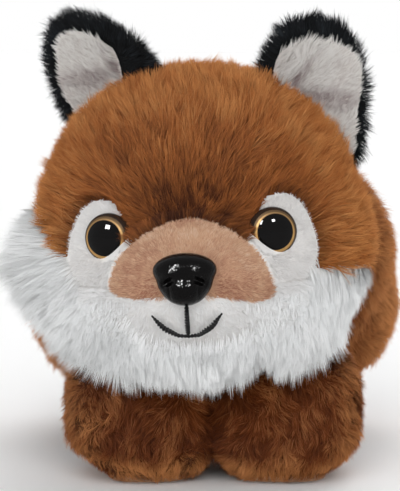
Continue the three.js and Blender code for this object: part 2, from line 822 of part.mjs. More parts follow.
// Tail: a ball stretched along a drooping curve that turns up at its end.
const tail = new THREE.Group();
tail.name = 'tail_hinge';
const rumpDirection = placed(0, 1, (tailRootHeight - bodyCentreHeight) / bodyHalfDepth).normalize();
const rumpReach = formReach(bodyForm, rumpDirection);
tail.position.copy(rumpDirection).multiplyScalar(rumpReach + tailHingeLift).add(bodyForm.origin);
toy.add(tail);
tail.updateMatrix();
const tailPath = new THREE.CatmullRomCurve3([
  placed(0, 0, 0),
  placed(0, tailLength / 3, -tailDroop * 0.7),
  placed(0, tailLength * 2 / 3, -tailDroop),
  placed(0, tailLength, tailUpturn - tailDroop),
]);

function tailRadius(share) {
  for (let i = 1; i < tailRadiusShares.length; i += 1) {
    const [from, low] = tailRadiusShares[i - 1];
    const [to, high] = tailRadiusShares[i];
    if (share <= to) {
      return tailMidRadius * THREE.MathUtils.lerp(low, high, (share - from) / (to - from));
    }
  }
  return 0;
}

function tailGeometry() {
  const geometry = new THREE.SphereGeometry(1, legSides, legRings);
  geometry.rotateX(Math.PI / 2);
  const points = geometry.attributes.position;
  for (let i = 0; i < points.count; i += 1) {
    const share = Math.acos(THREE.MathUtils.clamp(-points.getZ(i), -1, 1)) / Math.PI;
    const around = Math.atan2(points.getY(i), points.getX(i));
    const centre = tailPath.getPoint(share);
    const along = tailPath.getTangent(share);
    const rise = placed(0, -along.z, along.y);
    const onAxis = Math.abs(points.getZ(i)) > 0.9999;
    const radius = onAxis ? 0 : tailRadius(share);
    const across = placed(1, 0, 0).multiplyScalar(radius * Math.cos(around));
    centre.add(across).addScaledVector(rise, -radius * Math.sin(around));
    points.setXYZ(i, centre.x, centre.y, centre.z);
  }
  return geometry;
}

function rootBall(growth) {
  return new THREE.SphereGeometry(tailRootRadius + growth, legSides, innerRings);
}

const brush = solid(tailGeometry()).add(solid(rootBall(0)));
const tipLine = tailLength - tailTipLength;
const beyondTip = new THREE.BoxGeometry(cutterSpan, cutterSpan, cutterSpan);
beyondTip.translate(0, tipLine + cutterSpan / 2, 0);
const beforeTip = new THREE.BoxGeometry(cutterSpan, cutterSpan, cutterSpan);
beforeTip.translate(0, tipLine + seamGap - cutterSpan / 2, 0);

// Body cover and stuffing, open at the neck, with a trough for the tail's root.
const tailRoom = solid(rootBall(2 * seamGap), tail.matrix);
const bodyRooms = [headGrownInToy, tailRoom];
const bodyOuter = solid(formGeometry(bodyForm, bodyRings, bodySides, 0));
const bodyInner = solid(formGeometry(bodyForm, innerRings, innerSides, -coverThickness));
addPiece(toy, 'body_skin', geometryOf(without(bodyOuter.subtract(bodyInner), bodyRooms)), bodyPlush);
const bodyStuffing = solid(formGeometry(bodyForm, innerRings, innerSides, -coverThickness - seamGap));
addPiece(toy, 'body_filling', geometryOf(without(bodyStuffing, bodyRooms)), stuffing);
const bodyGrown = solid(formGeometry(bodyForm, bodyRings, bodySides, seamGap));

// The room that the rump needs in the tail, at rest and with the tail swung all the way.
function rumpRoom(swing) {
  const matrix = new THREE.Matrix4().makeRotationX(degrees(swing));
  matrix.multiply(new THREE.Matrix4().copy(tail.matrix).invert());
  return solid(formGeometry(bodyForm, bodyRings, bodySides, seamGap), matrix)
    .subtract(solid(rootBall(seamGap)));
}

const rumpRooms = [-tailLiftAngle, -tailLiftAngle / 2, 0, tailDropAngle].map(rumpRoom);
addPiece(tail, 'tail', geometryOf(without(brush, [...rumpRooms, solid(beyondTip)])), bodyPlush);
addPiece(tail, 'tail_tip', geometryOf(brush.subtract(solid(beforeTip))), whitePlush);

// Legs and their soles.
const legs = [
  ['front', 'left', 1, frontLegForward, frontLegSpread, frontLegCentreHeight,
    placed(frontLegHalfWidth, frontLegHalfDepth, frontLegHalfHeight)],
  ['front', 'right', -1, frontLegForward, frontLegSpread, frontLegCentreHeight,
    placed(frontLegHalfWidth, frontLegHalfDepth, frontLegHalfHeight)],
  ['hind', 'left', 1, -hindLegBack, hindLegSpread, hindLegCentreHeight,
    placed(hindLegHalfWidth, hindLegHalfDepth, hindLegHalfHeight)],
  ['hind', 'right', -1, -hindLegBack, hindLegSpread, hindLegCentreHeight,
    placed(hindLegHalfWidth, hindLegHalfDepth, hindLegHalfHeight)],
];
const aboveSole = new THREE.BoxGeometry(cutterSpan, cutterSpan, cutterSpan);
aboveSole.translate(0, 0, soleThickness + cutterSpan / 2);
for (const [end, name, side, forward, spread, height, radii] of legs) {
  const form = {
    origin: placed(side * spread, -forward, height),
    squareness: legSquareness,
    standing: true,
    radii,
  };
  const otherSide = new THREE.BoxGeometry(cutterSpan, cutterSpan, cutterSpan);
  otherSide.translate(-side * (cutterSpan - seamGap) / 2, 0, 0);
  const column = solid(formGeometry(form, legRings, legSides, 0)).subtract(solid(otherSide));
  const leg = column.subtract(bodyGrown).subtract(headGrownInToy).subtract(below(soleThickness + seamGap));
  addPiece(toy, `${end}_leg_${name}`, geometryOf(leg), bodyPlush);
  const sole = solid(formGeometry(form, legRings, legSides, -soleInset))
    .subtract(solid(aboveSole)).subtract(below(0)).subtract(solid(otherSide));
  addPiece(toy, `sole_${end}_${name}`, geometryOf(sole), tanPlush);
}

// The origin is on the floor, under the middle of the whole toy.
fox.updateMatrixWorld(true);
const extent = new THREE.Box3().setFromObject(fox, true);
const middle = extent.getCenter(new THREE.Vector3());
toy.position.set(-middle.x, -middle.y, -extent.min.z);
fox.updateMatrixWorld(true);

export default fox;
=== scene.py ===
"""The looks of the plush fox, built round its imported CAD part, laid out as a Blender add-on.

Lengths inside the helpers are in millimetres, as in the CAD part, and go into the meshes in metres.
"""

import math

import bpy
import numpy as np
from bpy.props import FloatProperty, FloatVectorProperty, PointerProperty
from mathutils import Matrix, Vector


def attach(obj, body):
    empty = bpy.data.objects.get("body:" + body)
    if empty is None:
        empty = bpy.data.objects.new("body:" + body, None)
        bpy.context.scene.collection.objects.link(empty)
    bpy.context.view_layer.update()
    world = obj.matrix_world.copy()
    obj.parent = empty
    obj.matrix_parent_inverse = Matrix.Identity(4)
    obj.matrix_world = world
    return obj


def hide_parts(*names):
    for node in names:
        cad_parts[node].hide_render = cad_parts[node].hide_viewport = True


bl_info = {
    "name": "Plush fox",
    "version": (1, 0, 0),
    "blender": (4, 5, 0),
    "location": "3D View > Sidebar > Fox",
    "description": "Covers a stuffed toy fox in plush and sets its eyes, nose, stitches and stage",
    "category": "Object",
}

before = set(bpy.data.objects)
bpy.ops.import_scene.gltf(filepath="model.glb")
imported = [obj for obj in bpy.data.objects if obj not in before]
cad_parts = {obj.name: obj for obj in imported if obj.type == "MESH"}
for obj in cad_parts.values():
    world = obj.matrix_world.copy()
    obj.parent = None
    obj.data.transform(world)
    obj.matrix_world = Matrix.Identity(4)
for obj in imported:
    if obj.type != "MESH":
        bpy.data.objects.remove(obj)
MM = 0.001


# The forms of the CAD part: swellings as (centre, radii), melted into one skin.
HEAD = {
    "origin": (0, 0, 0),
    "swellings": [
        ((0, 0, 0), (61.5, 57, 55.5)),
        ((0, -45, -23), (33, 34, 24)),
        ((0, -24, -33), (40, 34, 22)),
        ((33, -12, -19), (31, 38, 30)),
        ((-33, -12, -19), (31, 38, 30)),
    ],
}
BODY = {
    "origin": (0, 3, 79),
    "swellings": [
        ((0, 0, 0), (76, 71, 53)),
        ((0, -53, -32), (48, 38, 26)),
        ((41, 27, -28), (36, 42, 33)),
        ((-41, 27, -28), (36, 42, 33)),
    ],
}
NOSE = {
    "origin": (0, 0, 0),
    "power_of_blend": 7,
    "swellings": [
        ((0, 0, 3.1), (11.2, 7.6, 5.9)),
        ((0, 0, -1.5), (9.6, 7.3, 6)),
        ((0, 0, -4.2), (6.8, 7.7, 5.2)),
    ],
}
BLEND_POWER = 9
LEG_POWER = 2.9
LEGS = {
    "front_left": ((27.2, -67, 26), (31, 30, 30)),
    "front_right": ((-27.2, -67, 26), (31, 30, 30)),
    "hind_left": ((30, 41, 25), (27, 29, 29)),
    "hind_right": ((-30, 41, 25), (27, 29, 29)),
}
TOY_BACK = 2.643
NECK_LINE = -36

# Each ear: its place round the head and how it stands, its lining and its flare, and the outline of
# its opening as shares of the lining's half width and height.
EARS = {
    "left": {"side": 1, "place": 50, "lift": -5.8, "tilt": 39.6, "turn": 10, "lean": 0.25,
             "lining": 20, "lining_top": 33, "flare": 4.5, "shoulder": 0.2,
             "mouth": [(-1.06, 0.34), (-0.94, 0.6), (-0.64, 0.78), (-0.1, 0.92), (0.28, 0.85), (0.5, 0.68),
                       (0.76, 0.42), (1.04, 0.16), (1.2, 0.0), (1.1, -0.3), (0.33, -0.2), (-0.62, -0.05)]},
    "right": {"side": -1, "place": 34.5, "lift": -2.8, "tilt": 32, "turn": 29, "lean": 0,
              "lining": 17.5, "lining_top": 30, "flare": 3.0, "shoulder": 0.0,
              "mouth": [(0.22, 0.94), (-0.25, 0.97), (-0.59, 0.76), (-0.98, 0.38), (-1.02, 0.0), (-0.8, -0.2),
                        (0, -0.2), (0.35, -0.05), (0.75, 0.38), (0.66, 0.64)]},
}
EAR_SET_BACK = 5
EAR_HEIGHT = 38.5
EAR_HALF_WIDTH = 26
EAR_INSET = 4.5

# The outlines of the face's panels, as shares of their half sizes, and where they are on the head.
MUZZLE_SHARES = [(0, 1), (0.46, 0.74), (0.8, 0.24), (0.95, -0.3), (1, -0.84), (0.85, -1), (0.4, -0.8),
                 (0, -0.72), (-0.4, -0.76), (-0.8, -0.78), (-0.96, -0.6), (-0.93, -0.2), (-0.8, 0.24),
                 (-0.46, 0.74)]
PATCH_SHARES = [(-0.66, 0.25), (-0.34, 0.84), (0.1, 0.98), (0.52, 0.8), (0.88, 0.25), (1, -0.4),
                (0.78, -0.95), (0, -1.05), (-0.5, -0.95), (-0.9, -0.4)]
CHIN_SHARES = [(0, 0.9), (0.7, 0.98), (1, 0.86), (0.96, 0.3), (0.78, -0.35), (0.46, -0.84), (0, -1)]
MUZZLE_HALF, MUZZLE_MIDDLE = (30.5, 15), (0, -14.5)
PATCH_HALF, PATCH_MIDDLE = (14.5, 16), (33.5, -7.5)
CHIN_HALF, CHIN_MIDDLE = (43, 17), (0, -35)
BEARD_HALF, BEARD_MIDDLE = (43, 18), (0, -33)
FACE_DEPTH = -15

# Where the crown ends and the ruffs begin: heights over the distance from the middle, on each side.
RUFF_EDGE_LEFT = ((0, 43, 49, 56, 62, 100), (-21, -21, -21, -22, -23, -23))
RUFF_EDGE_RIGHT = ((0, 43, 49, 56, 62, 100), (-21, -19, -13, -6, 2, 9))
CROWN, MUZZLE, PATCH_LEFT, PATCH_RIGHT, CHIN, RUFF_LEFT, RUFF_RIGHT = range(7)

# The eyes: how far out, how low and how deep they sit and where they look, then their half width,
# their dome, their rim and their ring. The nose: how low and how proud it sits, and where it ends.
EYE_SPREAD = 30
EYE_DROP = 5.6
EYE_TURN = 17
EYE_LOOK_UP = 2
EYE_SINK = 1.6
EYE_RADIUS = 9
EYE_DOME = 5.6
EYE_RIM = -1.4
RING_INNER, RING_OUTER = 6.6, 8.0
NOSE_DROP = 18
NOSE_PROUD = 1.4
NOSE_TILT = 10
NOSE_BACK = 3.0

# The mouth: half the smile's width and its rise, its lowest point, the line above it, and how thick
# the thread is along both.
SMILE_HALF, SMILE_RISE, SMILE_LOW = 12.6, 8.3, (-0.4, -39.8)
SMILE_SHARES = [(-1, 1), (-0.68, 0.42), (-0.3, 0.06), (0, 0), (0.3, 0.06), (0.68, 0.42), (1, 1)]
SMILE_RADII = [0.3, 0.95, 1.1, 0.8, 0.65, 0.65, 0.85, 1.1, 1.0, 0.3]
LINE_PLACES = [(0, -27.0), (-0.2, -33), (-0.4, -38.8)]
LINE_RADII = [0.75, 0.9, 0.95, 0.8]
THREAD_TWIST = 2.4
THREAD_SIDES = 10
THREAD_DEPTH = -0.6

# How deep the skins lie under the CAD part's surface, and how the paws and soles are rounded off.
BODY_INSET = 4.2
WOOL_INSET = 14
LEG_INSET = 3.4
LEG_FLOOR = 2.6
LEG_GAP = 0.9
PAW_ROUNDING = {"left": 3.2, "right": 6.0}
SOLE_THICKNESS = 2
SOLE_INSET = (5.0, 6.0)
SOLE_DRAWN_IN = {"left": 1.5, "right": 4.5}
SOLE_GAP = 0.3

# The tail: its lengths, its half width with the shares of it along the way, and how it sags.
TAIL_LENGTH = 80
TAIL_ROOT = 6
TAIL_TIP_LENGTH = 27
TAIL_RADIUS = 19.5
TAIL_SAG = (0, -5.6, -8, 6)
TAIL_RADII = ((0, 0.16, 0.42, 0.7, 0.88, 1), (0.46, 0.74, 1, 0.94, 0.66, 0.2))
TAIL_HINGE = (0, 75.33, 74.09)

# Where the search for a form's front begins, and how often it halves the way.
FAR_AHEAD = -400.0
HALVINGS = 40

# Steps of the balls that the skins are shaped from, and of the turned pieces.
HEAD_LEVEL, SKIN_LEVEL, PLAIN_LEVEL = 7, 6, 5
LATHE_STEPS = 96

# Strands to a square millimetre of skin.
DENSITY = {"crown": 4.8, "ruff": 6.0, "chin": 7.0, "eye_patch": 7.0, "muzzle": 8.0, "ear": 9.2, "lining": 8.0,
           "body": 2.6, "front": 4.8, "hind": 3.4, "tail": 2.6}

# How each pile grows: how broad its strands are, in how many steps they bend, how wide its tufts and
# locks are, how far these pull together, how far strands fray out of them and how much the tone
# plays from tuft to tuft, lock to lock and strand to strand.
GROWTH = {
    "crown": {"tuft_sizes": (4.6, 1.1), "pull": 0.24, "fray": 0.3, "tone_play": (0.04, 0.07, 0.08)},
    "ruff": {"breadth": 0.82, "levels": 4, "tuft_sizes": (9.0, 1.8), "pull": 0.16, "fray": 0.16,
             "tone_play": (0.03, 0.02, 0.04), "roundness": 0.05, "facing": 0.35},
    "chin": {"breadth": 0.85, "tuft_sizes": (5.0, 1.4), "pull": 0.25, "fray": 0.2,
             "tone_play": (0.03, 0.02, 0.04), "roundness": 0.2},
    "eye_patch": {"breadth": 0.8, "tuft_sizes": (4.0, 1.2), "pull": 0.22, "fray": 0.2,
                  "tone_play": (0.03, 0.02, 0.04), "roundness": 0.2},
    "muzzle": {"breadth": 0.75, "tuft_sizes": (3.0, 1.0), "pull": 0.2, "fray": 0.25,
               "tone_play": (0.07, 0.09, 0.14), "roundness": 0.3},
    "ear": {"breadth": 0.85, "tuft_sizes": (2.6, 0.7), "pull": 0.06, "fray": 0.17,
            "tone_play": (0.07, 0.05, 0.12), "roundness": 0.3},
    "lining": {"breadth": 0.9, "tuft_sizes": (4.0, 1.3), "pull": 0.25, "fray": 0.2, "roundness": 0.25},
    "body": {"tuft_sizes": (7.0, 1.6), "pull": 0.3, "fray": 0.28},
    "leg": {"tuft_sizes": (4.0, 1.2), "pull": 0.3, "fray": 0.4, "tone_play": (0.05, 0.07, 0.08)},
    "tail": {"breadth": 1.2, "levels": 4, "tuft_sizes": (8.0, 2.4), "pull": 0.4, "fray": 0.22},
}

# How far the strands of one tuft, those of one lock and each strand alone stray.
WAY_STRAY = (0.6, 0.7, 0.35)
LENGTH_STRAY = (0.09, 0.08)
LEAN_STRAY = (0.10, 0.10, 0.06)
LENGTH_SPREAD = (0.82, 1.1)
STEEPEST_LEAN, FLATTEST_LEAN, LARGEST_ANGLE = 0.05, 1.5, 1.53

# Every strand: how deep its root is, how it tapers and how low it may reach, and how many triangles
# one mesh of them may have.
ROOT_DEPTH = 0.4
STRAND_TAPER = 0.55
LEAST_HEIGHT = 0.25
MOST_TRIANGLES = 190000

# Where a skin is on its chart between root and tip, and how wide one face or strand is on it.
SKIN_HEIGHT = 0.24
FACE_CHART = (0.006, 0.012)
STRAND_CHART = 0.008

# Large odd numbers that mix a cell's place into steady random shares.
CELL_MIX = (73856093, 19349663, 83492791)
SEED_MIX = 2654435761
STEP_MIX = 6364136223846793005
STEP_ADD = 1442695040888963407
KEPT_BITS = 0x7FFFFFFFFFFFFFFF
SHARE_BITS = 0xFFFFFF
CELL_SPAN = 1024

# The photo's camera: its width and focal length and how far its middle is off, in pixels, then its
# distance in metres, its rise in degrees and the place that it looks at.
PHOTO_WIDTH_PX = 400
FOCAL_PX = 2337
OFF_MIDDLE_PX = (-13.5, -10.5)
SENSOR_WIDTH = 36
CAMERA_DISTANCE = 0.9
CAMERA_RISE = 6
CAMERA_TARGET = (0, -70 + TOY_BACK, 94)


def length_property(name, description, default):
    """A length of the add-on, in metres."""
    return FloatProperty(name=name, description=description, default=default, min=0.0,
                         unit="LENGTH", subtype="DISTANCE", precision=5)


def colour_property(name, description, default):
    """A screen colour of the add-on."""
    return FloatVectorProperty(name=name, description=description, default=default, min=0.0, max=1.0,
                               size=3, subtype="COLOR_GAMMA")


class FoxSizes(bpy.types.PropertyGroup):
    """Sizes of the plush and of the stage."""
    crown_pile: length_property("Crown pile", "Length of the brown strands of the head", 0.0092)
    ruff_pile: length_property("Ruff pile", "Length of the long white strands of the cheeks", 0.019)
    body_pile: length_property("Body pile", "Length of the strands of the body", 0.0085)
    leg_pile: length_property("Leg pile", "Length of the strands of the legs", 0.0062)
    ear_pile: length_property("Ear pile", "Length of the black strands of the ears", 0.0072)
    lining_pile: length_property("Lining pile", "Length of the white strands in the ears", 0.0045)
    patch_pile: length_property("Patch pile", "Length of the short white strands of the face", 0.0032)
    muzzle_pile: length_property("Muzzle pile", "Length of the tan velvet on the muzzle", 0.0018)
    tail_pile: length_property("Tail pile", "Length of the strands of the tail", 0.014)
    strand_width: length_property("Strand width", "Width of one strand at its root", 0.00026)
    floor_half: length_property("Floor half width", "Half the width of the pale floor", 6.0)


class FoxColours(bpy.types.PropertyGroup):
    """Colours of the plush, the plastics and the thread."""
    brown: colour_property("Brown plush", "Middle colour of the crown", (0.70, 0.41, 0.195))
    brown_dark: colour_property("Brown plush, dark", "Darkest colour of the crown", (0.28, 0.125, 0.05))
    brown_light: colour_property("Brown plush, light", "Lightest colour of the crown", (0.91, 0.65, 0.39))
    body: colour_property("Body plush", "Middle colour of the body and legs", (0.48, 0.24, 0.10))
    body_dark: colour_property("Body plush, dark", "Darkest colour of the body", (0.20, 0.085, 0.035))
    body_light: colour_property("Body plush, light", "Lightest colour of the body", (0.86, 0.58, 0.35))
    white: colour_property("Long white plush", "Colour of the ruff", (0.975, 0.98, 0.98))
    short_white: colour_property("Short white plush", "Colour of the face patches", (0.968, 0.968, 0.966))
    tan: colour_property("Tan velvet", "Colour of the muzzle and soles", (0.86, 0.69, 0.56))
    black: colour_property("Black plush", "Colour of the ears' backs", (0.085, 0.095, 0.105))
    lining: colour_property("Ear lining", "Colour inside the ears", (0.94, 0.93, 0.915))
    # The rings' dull colour is their gold in painted shade high up, and duller toward their edges.
    gold: colour_property("Gold ring", "Bright part of the eye rings", (0.70, 0.55, 0.34))
    dull_shaded_gold: colour_property("Bronze ring", "Dull part of the eye rings", (0.34, 0.26, 0.17))
    eye: colour_property("Eye plastic", "Colour of the eyes and nose", (0.035, 0.03, 0.03))
    stuffing: colour_property("Stuffing", "Colour of the polyester stuffing", (0.92, 0.91, 0.88))


# Numbers and forms


def unit(vectors):
    """Vectors brought to a length of one."""
    return vectors / np.maximum(np.linalg.norm(vectors, axis=-1, keepdims=True), 1e-9)


def reach(form, ways):
    """How far the form's skin is from its origin along each unit way."""
    if "radii" in form:
        return (np.abs(ways / form["radii"]) ** LEG_POWER).sum(1) ** (-1 / LEG_POWER)
    power = form.get("power_of_blend", BLEND_POWER)
    total = np.zeros(len(ways))
    for centre, radii in form["swellings"]:
        scaled = ways / radii
        offset = np.array(centre) / radii
        square = (scaled ** 2).sum(1)
        along = scaled @ offset
        root = along ** 2 - square * ((offset ** 2).sum() - 1)
        far = (along + np.sqrt(np.maximum(root, 0))) / square
        total += np.where(root > 0, np.maximum(far, 0), 0) ** power
    return total ** (1 / power)


def beyond(form, points):
    """How far each point is outside the form, measured from the form's origin."""
    rel = points - np.array(form["origin"])
    far = np.linalg.norm(rel, axis=1)
    return far - reach(form, rel / np.maximum(far, 1e-6)[:, None])


def front_of(form, x, z, growth=0.0):
    """The y of the form's front skin at a place seen from the front."""
    far, near = FAR_AHEAD, 0.0
    for _ in range(HALVINGS):
        middle = (far + near) / 2
        point = np.array([[x, middle, z]])
        if beyond(form, point)[0] > growth:
            far = middle
        else:
            near = middle
    return near


def turn(axis, angle):
    """A turn by degrees about an axis."""
    return Matrix.Rotation(math.radians(angle), 4, axis)


def shift(*place):
    """A move by millimetres."""
    return Matrix.Translation(Vector(place))


def moved(matrix, points):
    """Points through a 4 x 4 matrix."""
    grid = np.array(matrix)
    return points @ grid[:3, :3].T + grid[:3, 3]


def turned(matrix, vectors):
    """Directions through the turn of a 4 x 4 matrix."""
    return vectors @ np.array(matrix)[:3, :3].T


TOY = shift(0, TOY_BACK, 0)
HEAD_PLACE = TOY @ shift(-1.5, -22, 0) @ turn("Z", -4.2) @ shift(0, -48, 105) @ turn("Y", -2.6)


def ear_place(ear):
    """Where an ear's root stands on the head."""
    angle, back = math.radians(ear["place"]), math.radians(EAR_SET_BACK)
    way = np.array([[ear["side"] * math.sin(angle) * math.cos(back), math.sin(back),
                     math.cos(angle) * math.cos(back)]])
    spot = way[0] * (reach(HEAD, way)[0] + ear["lift"])
    tilt, twist = turn("Y", ear["side"] * ear["tilt"]), turn("Z", ear["side"] * ear["turn"])
    return HEAD_PLACE @ shift(*spot) @ tilt @ twist


def eye_place(side):
    """Where an eye sits in the head, with its Z axis as its line of sight."""
    y = front_of(HEAD, side * EYE_SPREAD, -EYE_DROP, -EYE_SINK)
    aim = Vector((side * math.sin(math.radians(EYE_TURN)), -math.cos(math.radians(EYE_TURN)),
                  math.sin(math.radians(EYE_LOOK_UP))))
    sight = Vector((0, 0, 1)).rotation_difference(aim).to_matrix().to_4x4()
    return HEAD_PLACE @ shift(side * EYE_SPREAD, y, -EYE_DROP) @ sight


NOSE_FRONT = front_of(HEAD, 0, -NOSE_DROP) - NOSE_PROUD
NOSE_PLACE = HEAD_PLACE @ shift(0, NOSE_FRONT, -NOSE_DROP) @ turn("X", -NOSE_TILT)


def waves(points, size, seed, channels=3):
    """A smooth field, about -1 to 1, that changes over about that many millimetres."""
    rng = np.random.default_rng(seed)
    total = np.zeros((len(points), channels))
    for _ in range(7):
        way = unit(rng.normal(size=(channels, 3))).T
        pace = 2 * math.pi / (size * rng.uniform(0.6, 1.7, channels))
        total += np.sin(points @ (way * pace) + rng.uniform(0, 2 * math.pi, channels))
    return total / 2.6


def ripple(points, size, seed):
    """One channel of such a field."""
    return waves(points, size, seed, 1)[:, 0]


def chance(grid, seed):
    """Three steady random shares for each cell of a grid."""
    x, y, z = grid.T
    mix = (x * CELL_MIX[0]) ^ (y * CELL_MIX[1]) ^ (z * CELL_MIX[2]) ^ (seed * SEED_MIX)
    shares = []
    for step in range(3):
        mix = (mix * STEP_MIX + STEP_ADD + step) & KEPT_BITS
        shares.append(((mix >> 24) & SHARE_BITS) / SHARE_BITS)
    return np.stack(shares, 1)


def tufts(points, size, seed):
    """The number of the tuft that each point belongs to, in tufts about that many millimetres wide."""
    home = np.floor(points / size).astype(np.int64)
    nearest = np.full(len(points), 1e9)
    key = np.zeros(len(points), np.int64)
    for dx in (-1, 0, 1):
        for dy in (-1, 0, 1):
            for dz in (-1, 0, 1):
                cell = home + (dx, dy, dz)
                far = ((points - (cell + chance(cell, seed)) * size) ** 2).sum(1)
                closer = far < nearest
                nearest[closer] = far[closer]
                x, y, z = (cell[closer] + CELL_SPAN // 2).T
                key[closer] = (x * CELL_SPAN + y) * CELL_SPAN + z
    return np.unique(key, return_inverse=True)[1]


def mean_of(values, group):
    """Each row's mean over its group."""
    count = np.bincount(group)
    return np.stack([np.bincount(group, values[:, i]) / count for i in range(values.shape[1])], 1)[group]


def step_up(values, low, high):
    """Nothing up to the low value, one from the high value, and a smooth rise between them."""
    share = np.clip((values - low) / (high - low), 0, 1)
    return share * share * (3 - 2 * share)


def spot_at(x, z, middle, spread):
    """One at the middle of a spot, fading out round it."""
    return np.exp(-(((x - middle[0]) / spread[0]) ** 2 + ((z - middle[1]) / spread[1]) ** 2))


def smooth_outline(shares, half, middle, mirrored=False):
    """A closed Catmull-Rom outline through points given as shares of its half sizes."""
    points = [(middle[0] + a * half[0], middle[1] + b * half[1]) for a, b in shares]
    if mirrored:
        points += [(middle[0] - a * half[0], middle[1] + b * half[1]) for a, b in shares[-2:0:-1]]
    p = np.array(points)
    t = np.linspace(0, 1, 12, endpoint=False)[None, :, None]
    a, b, c, d = (np.roll(p, k, axis=0)[:, None, :] for k in (1, 0, -1, -2))
    square, cube = 2 * a - 5 * b + 4 * c - d, 3 * b - a - 3 * c + d
    return (0.5 * (2 * b + (c - a) * t + square * t ** 2 + cube * t ** 3)).reshape(-1, 2)


def within(x, z, outline):
    """Which places are inside a closed outline."""
    inside = np.zeros(len(x), bool)
    for (ax, az), (bx, bz) in zip(outline, np.roll(outline, -1, axis=0)):
        if az != bz:
            inside ^= ((az > z) != (bz > z)) & (x < (bx - ax) * (z - az) / (bz - az) + ax)
    return inside


def mirrored_pair(pair):
    """The same half size or middle on the toy's other side."""
    return -pair[0], pair[1]


OUTLINES = {
    MUZZLE: smooth_outline(MUZZLE_SHARES, MUZZLE_HALF, MUZZLE_MIDDLE),
    PATCH_LEFT: smooth_outline(PATCH_SHARES, PATCH_HALF, PATCH_MIDDLE),
    PATCH_RIGHT: smooth_outline(PATCH_SHARES, mirrored_pair(PATCH_HALF), mirrored_pair(PATCH_MIDDLE)),
    CHIN: smooth_outline(CHIN_SHARES, CHIN_HALF, CHIN_MIDDLE, mirrored=True),
}


def region_of(points):
    """Which panel of the head each point, in the head's own frame, belongs to."""
    x, y, z = points.T
    edge = np.where(x > 0, np.interp(x, *RUFF_EDGE_LEFT), np.interp(-x, *RUFF_EDGE_RIGHT))
    found = np.where(z < edge, np.where(x > 0, RUFF_LEFT, RUFF_RIGHT), CROWN)
    for region in (CHIN, PATCH_RIGHT, PATCH_LEFT, MUZZLE):
        found[within(x, z, OUTLINES[region]) & (y < FACE_DEPTH)] = region
    return found


# Meshes


def sizes():
    """The sizes that the panel shows."""
    return bpy.context.scene.fox_sizes


def colours():
    """The colours that the panel shows."""
    return bpy.context.scene.fox_colours


def mm_of(value):
    """Metres in millimetres."""
    return value / MM


def alone():
    """Leaves edit mode and selects nothing."""
    if bpy.context.object and bpy.context.object.mode != "OBJECT":
        bpy.ops.object.mode_set(mode="OBJECT")
    bpy.ops.object.select_all(action="DESELECT")


def picked(obj):
    """Selects one object alone and makes it active."""
    alone()
    obj.select_set(True)
    bpy.context.view_layer.objects.active = obj


def edit_all(obj):
    """Enters edit mode on one object with all of it selected."""
    picked(obj)
    bpy.ops.object.mode_set(mode="EDIT")
    bpy.ops.mesh.select_all(action="SELECT")


def close_edit():
    """Turns all faces outward and leaves edit mode."""
    bpy.ops.mesh.select_all(action="SELECT")
    bpy.ops.mesh.normals_make_consistent(inside=False)
    bpy.ops.object.mode_set(mode="OBJECT")


def linked(name, mesh):
    """A new object of the scene that holds the mesh."""
    obj = bpy.data.objects.new(name, mesh)
    bpy.context.scene.collection.objects.link(obj)
    return obj


def named(name):
    """The newest object, with its name and its mesh's name."""
    obj = bpy.context.object
    obj.name = obj.data.name = name
    return obj


def corners(mesh):
    """The corners as the mesh holds them."""
    flat = np.empty(len(mesh.vertices) * 3, np.float32)
    mesh.vertices.foreach_get("co", flat)
    return flat.reshape(-1, 3).astype(float)


def set_corners(mesh, points):
    """Moves the corners to points in millimetres."""
    mesh.vertices.foreach_set("co", (points * MM).astype(np.float32).ravel())
    mesh.update()


def ball(name, level):
    """An icosphere of radius 1 at the origin, ready to be moved onto a form."""
    alone()
    bpy.ops.mesh.primitive_ico_sphere_add(subdivisions=level, radius=1, location=(0, 0, 0))
    return named(name)


def loops_of(mesh):
    """The corner that each loop is at."""
    flat = np.empty(len(mesh.loops), np.int32)
    mesh.loops.foreach_get("vertex_index", flat)
    return flat


def faces_of(mesh):
    """The corners of each triangle."""
    return loops_of(mesh).reshape(-1, 3)


def skin_ball(name, level):
    """A ball, the way to each of its corners and its faces."""
    skin = ball(name, level)
    return skin, unit(corners(skin.data)), faces_of(skin.data)


def normals_of(points, faces):
    """Each corner's normal, from the faces round it."""
    a, b, c = (points[faces[:, i]] for i in range(3))
    across = np.cross(b - a, c - a)
    total = np.stack([sum(np.bincount(faces[:, k], across[:, i], len(points)) for k in range(3))
                      for i in range(3)], 1)
    return unit(total)


def evened(values, faces, rounds):
    """Values on the vertices, each mixed with its neighbours' that many times."""
    ends = np.concatenate([faces[:, [0, 1]], faces[:, [1, 2]], faces[:, [2, 0]]])
    count = np.bincount(ends[:, 0], minlength=len(values))
    for _ in range(rounds):
        near = np.bincount(ends[:, 0], values[ends[:, 1]], len(values)) / count
        values = (values + near) / 2
    return values


def keep_faces(obj, wanted):
    """Deletes the faces that aren't wanted."""
    mesh = obj.data
    if wanted.all():
        return
    picked(obj)
    bpy.ops.object.mode_set(mode="EDIT")
    bpy.ops.mesh.select_mode(type="FACE")
    bpy.ops.mesh.select_all(action="DESELECT")
    bpy.ops.object.mode_set(mode="OBJECT")
    mesh.polygons.foreach_set("select", ~wanted)
    bpy.ops.object.mode_set(mode="EDIT")
    bpy.ops.mesh.delete(type="FACE")
    bpy.ops.object.mode_set(mode="OBJECT")


def set_chart(mesh, uv):
    """Writes the mesh's own UV map, one pair to a loop."""
    layer = mesh.uv_layers.get("OFBake") or mesh.uv_layers.new(name="OFBake")
    layer.data.foreach_set("uv", uv.astype(np.float32).ravel())


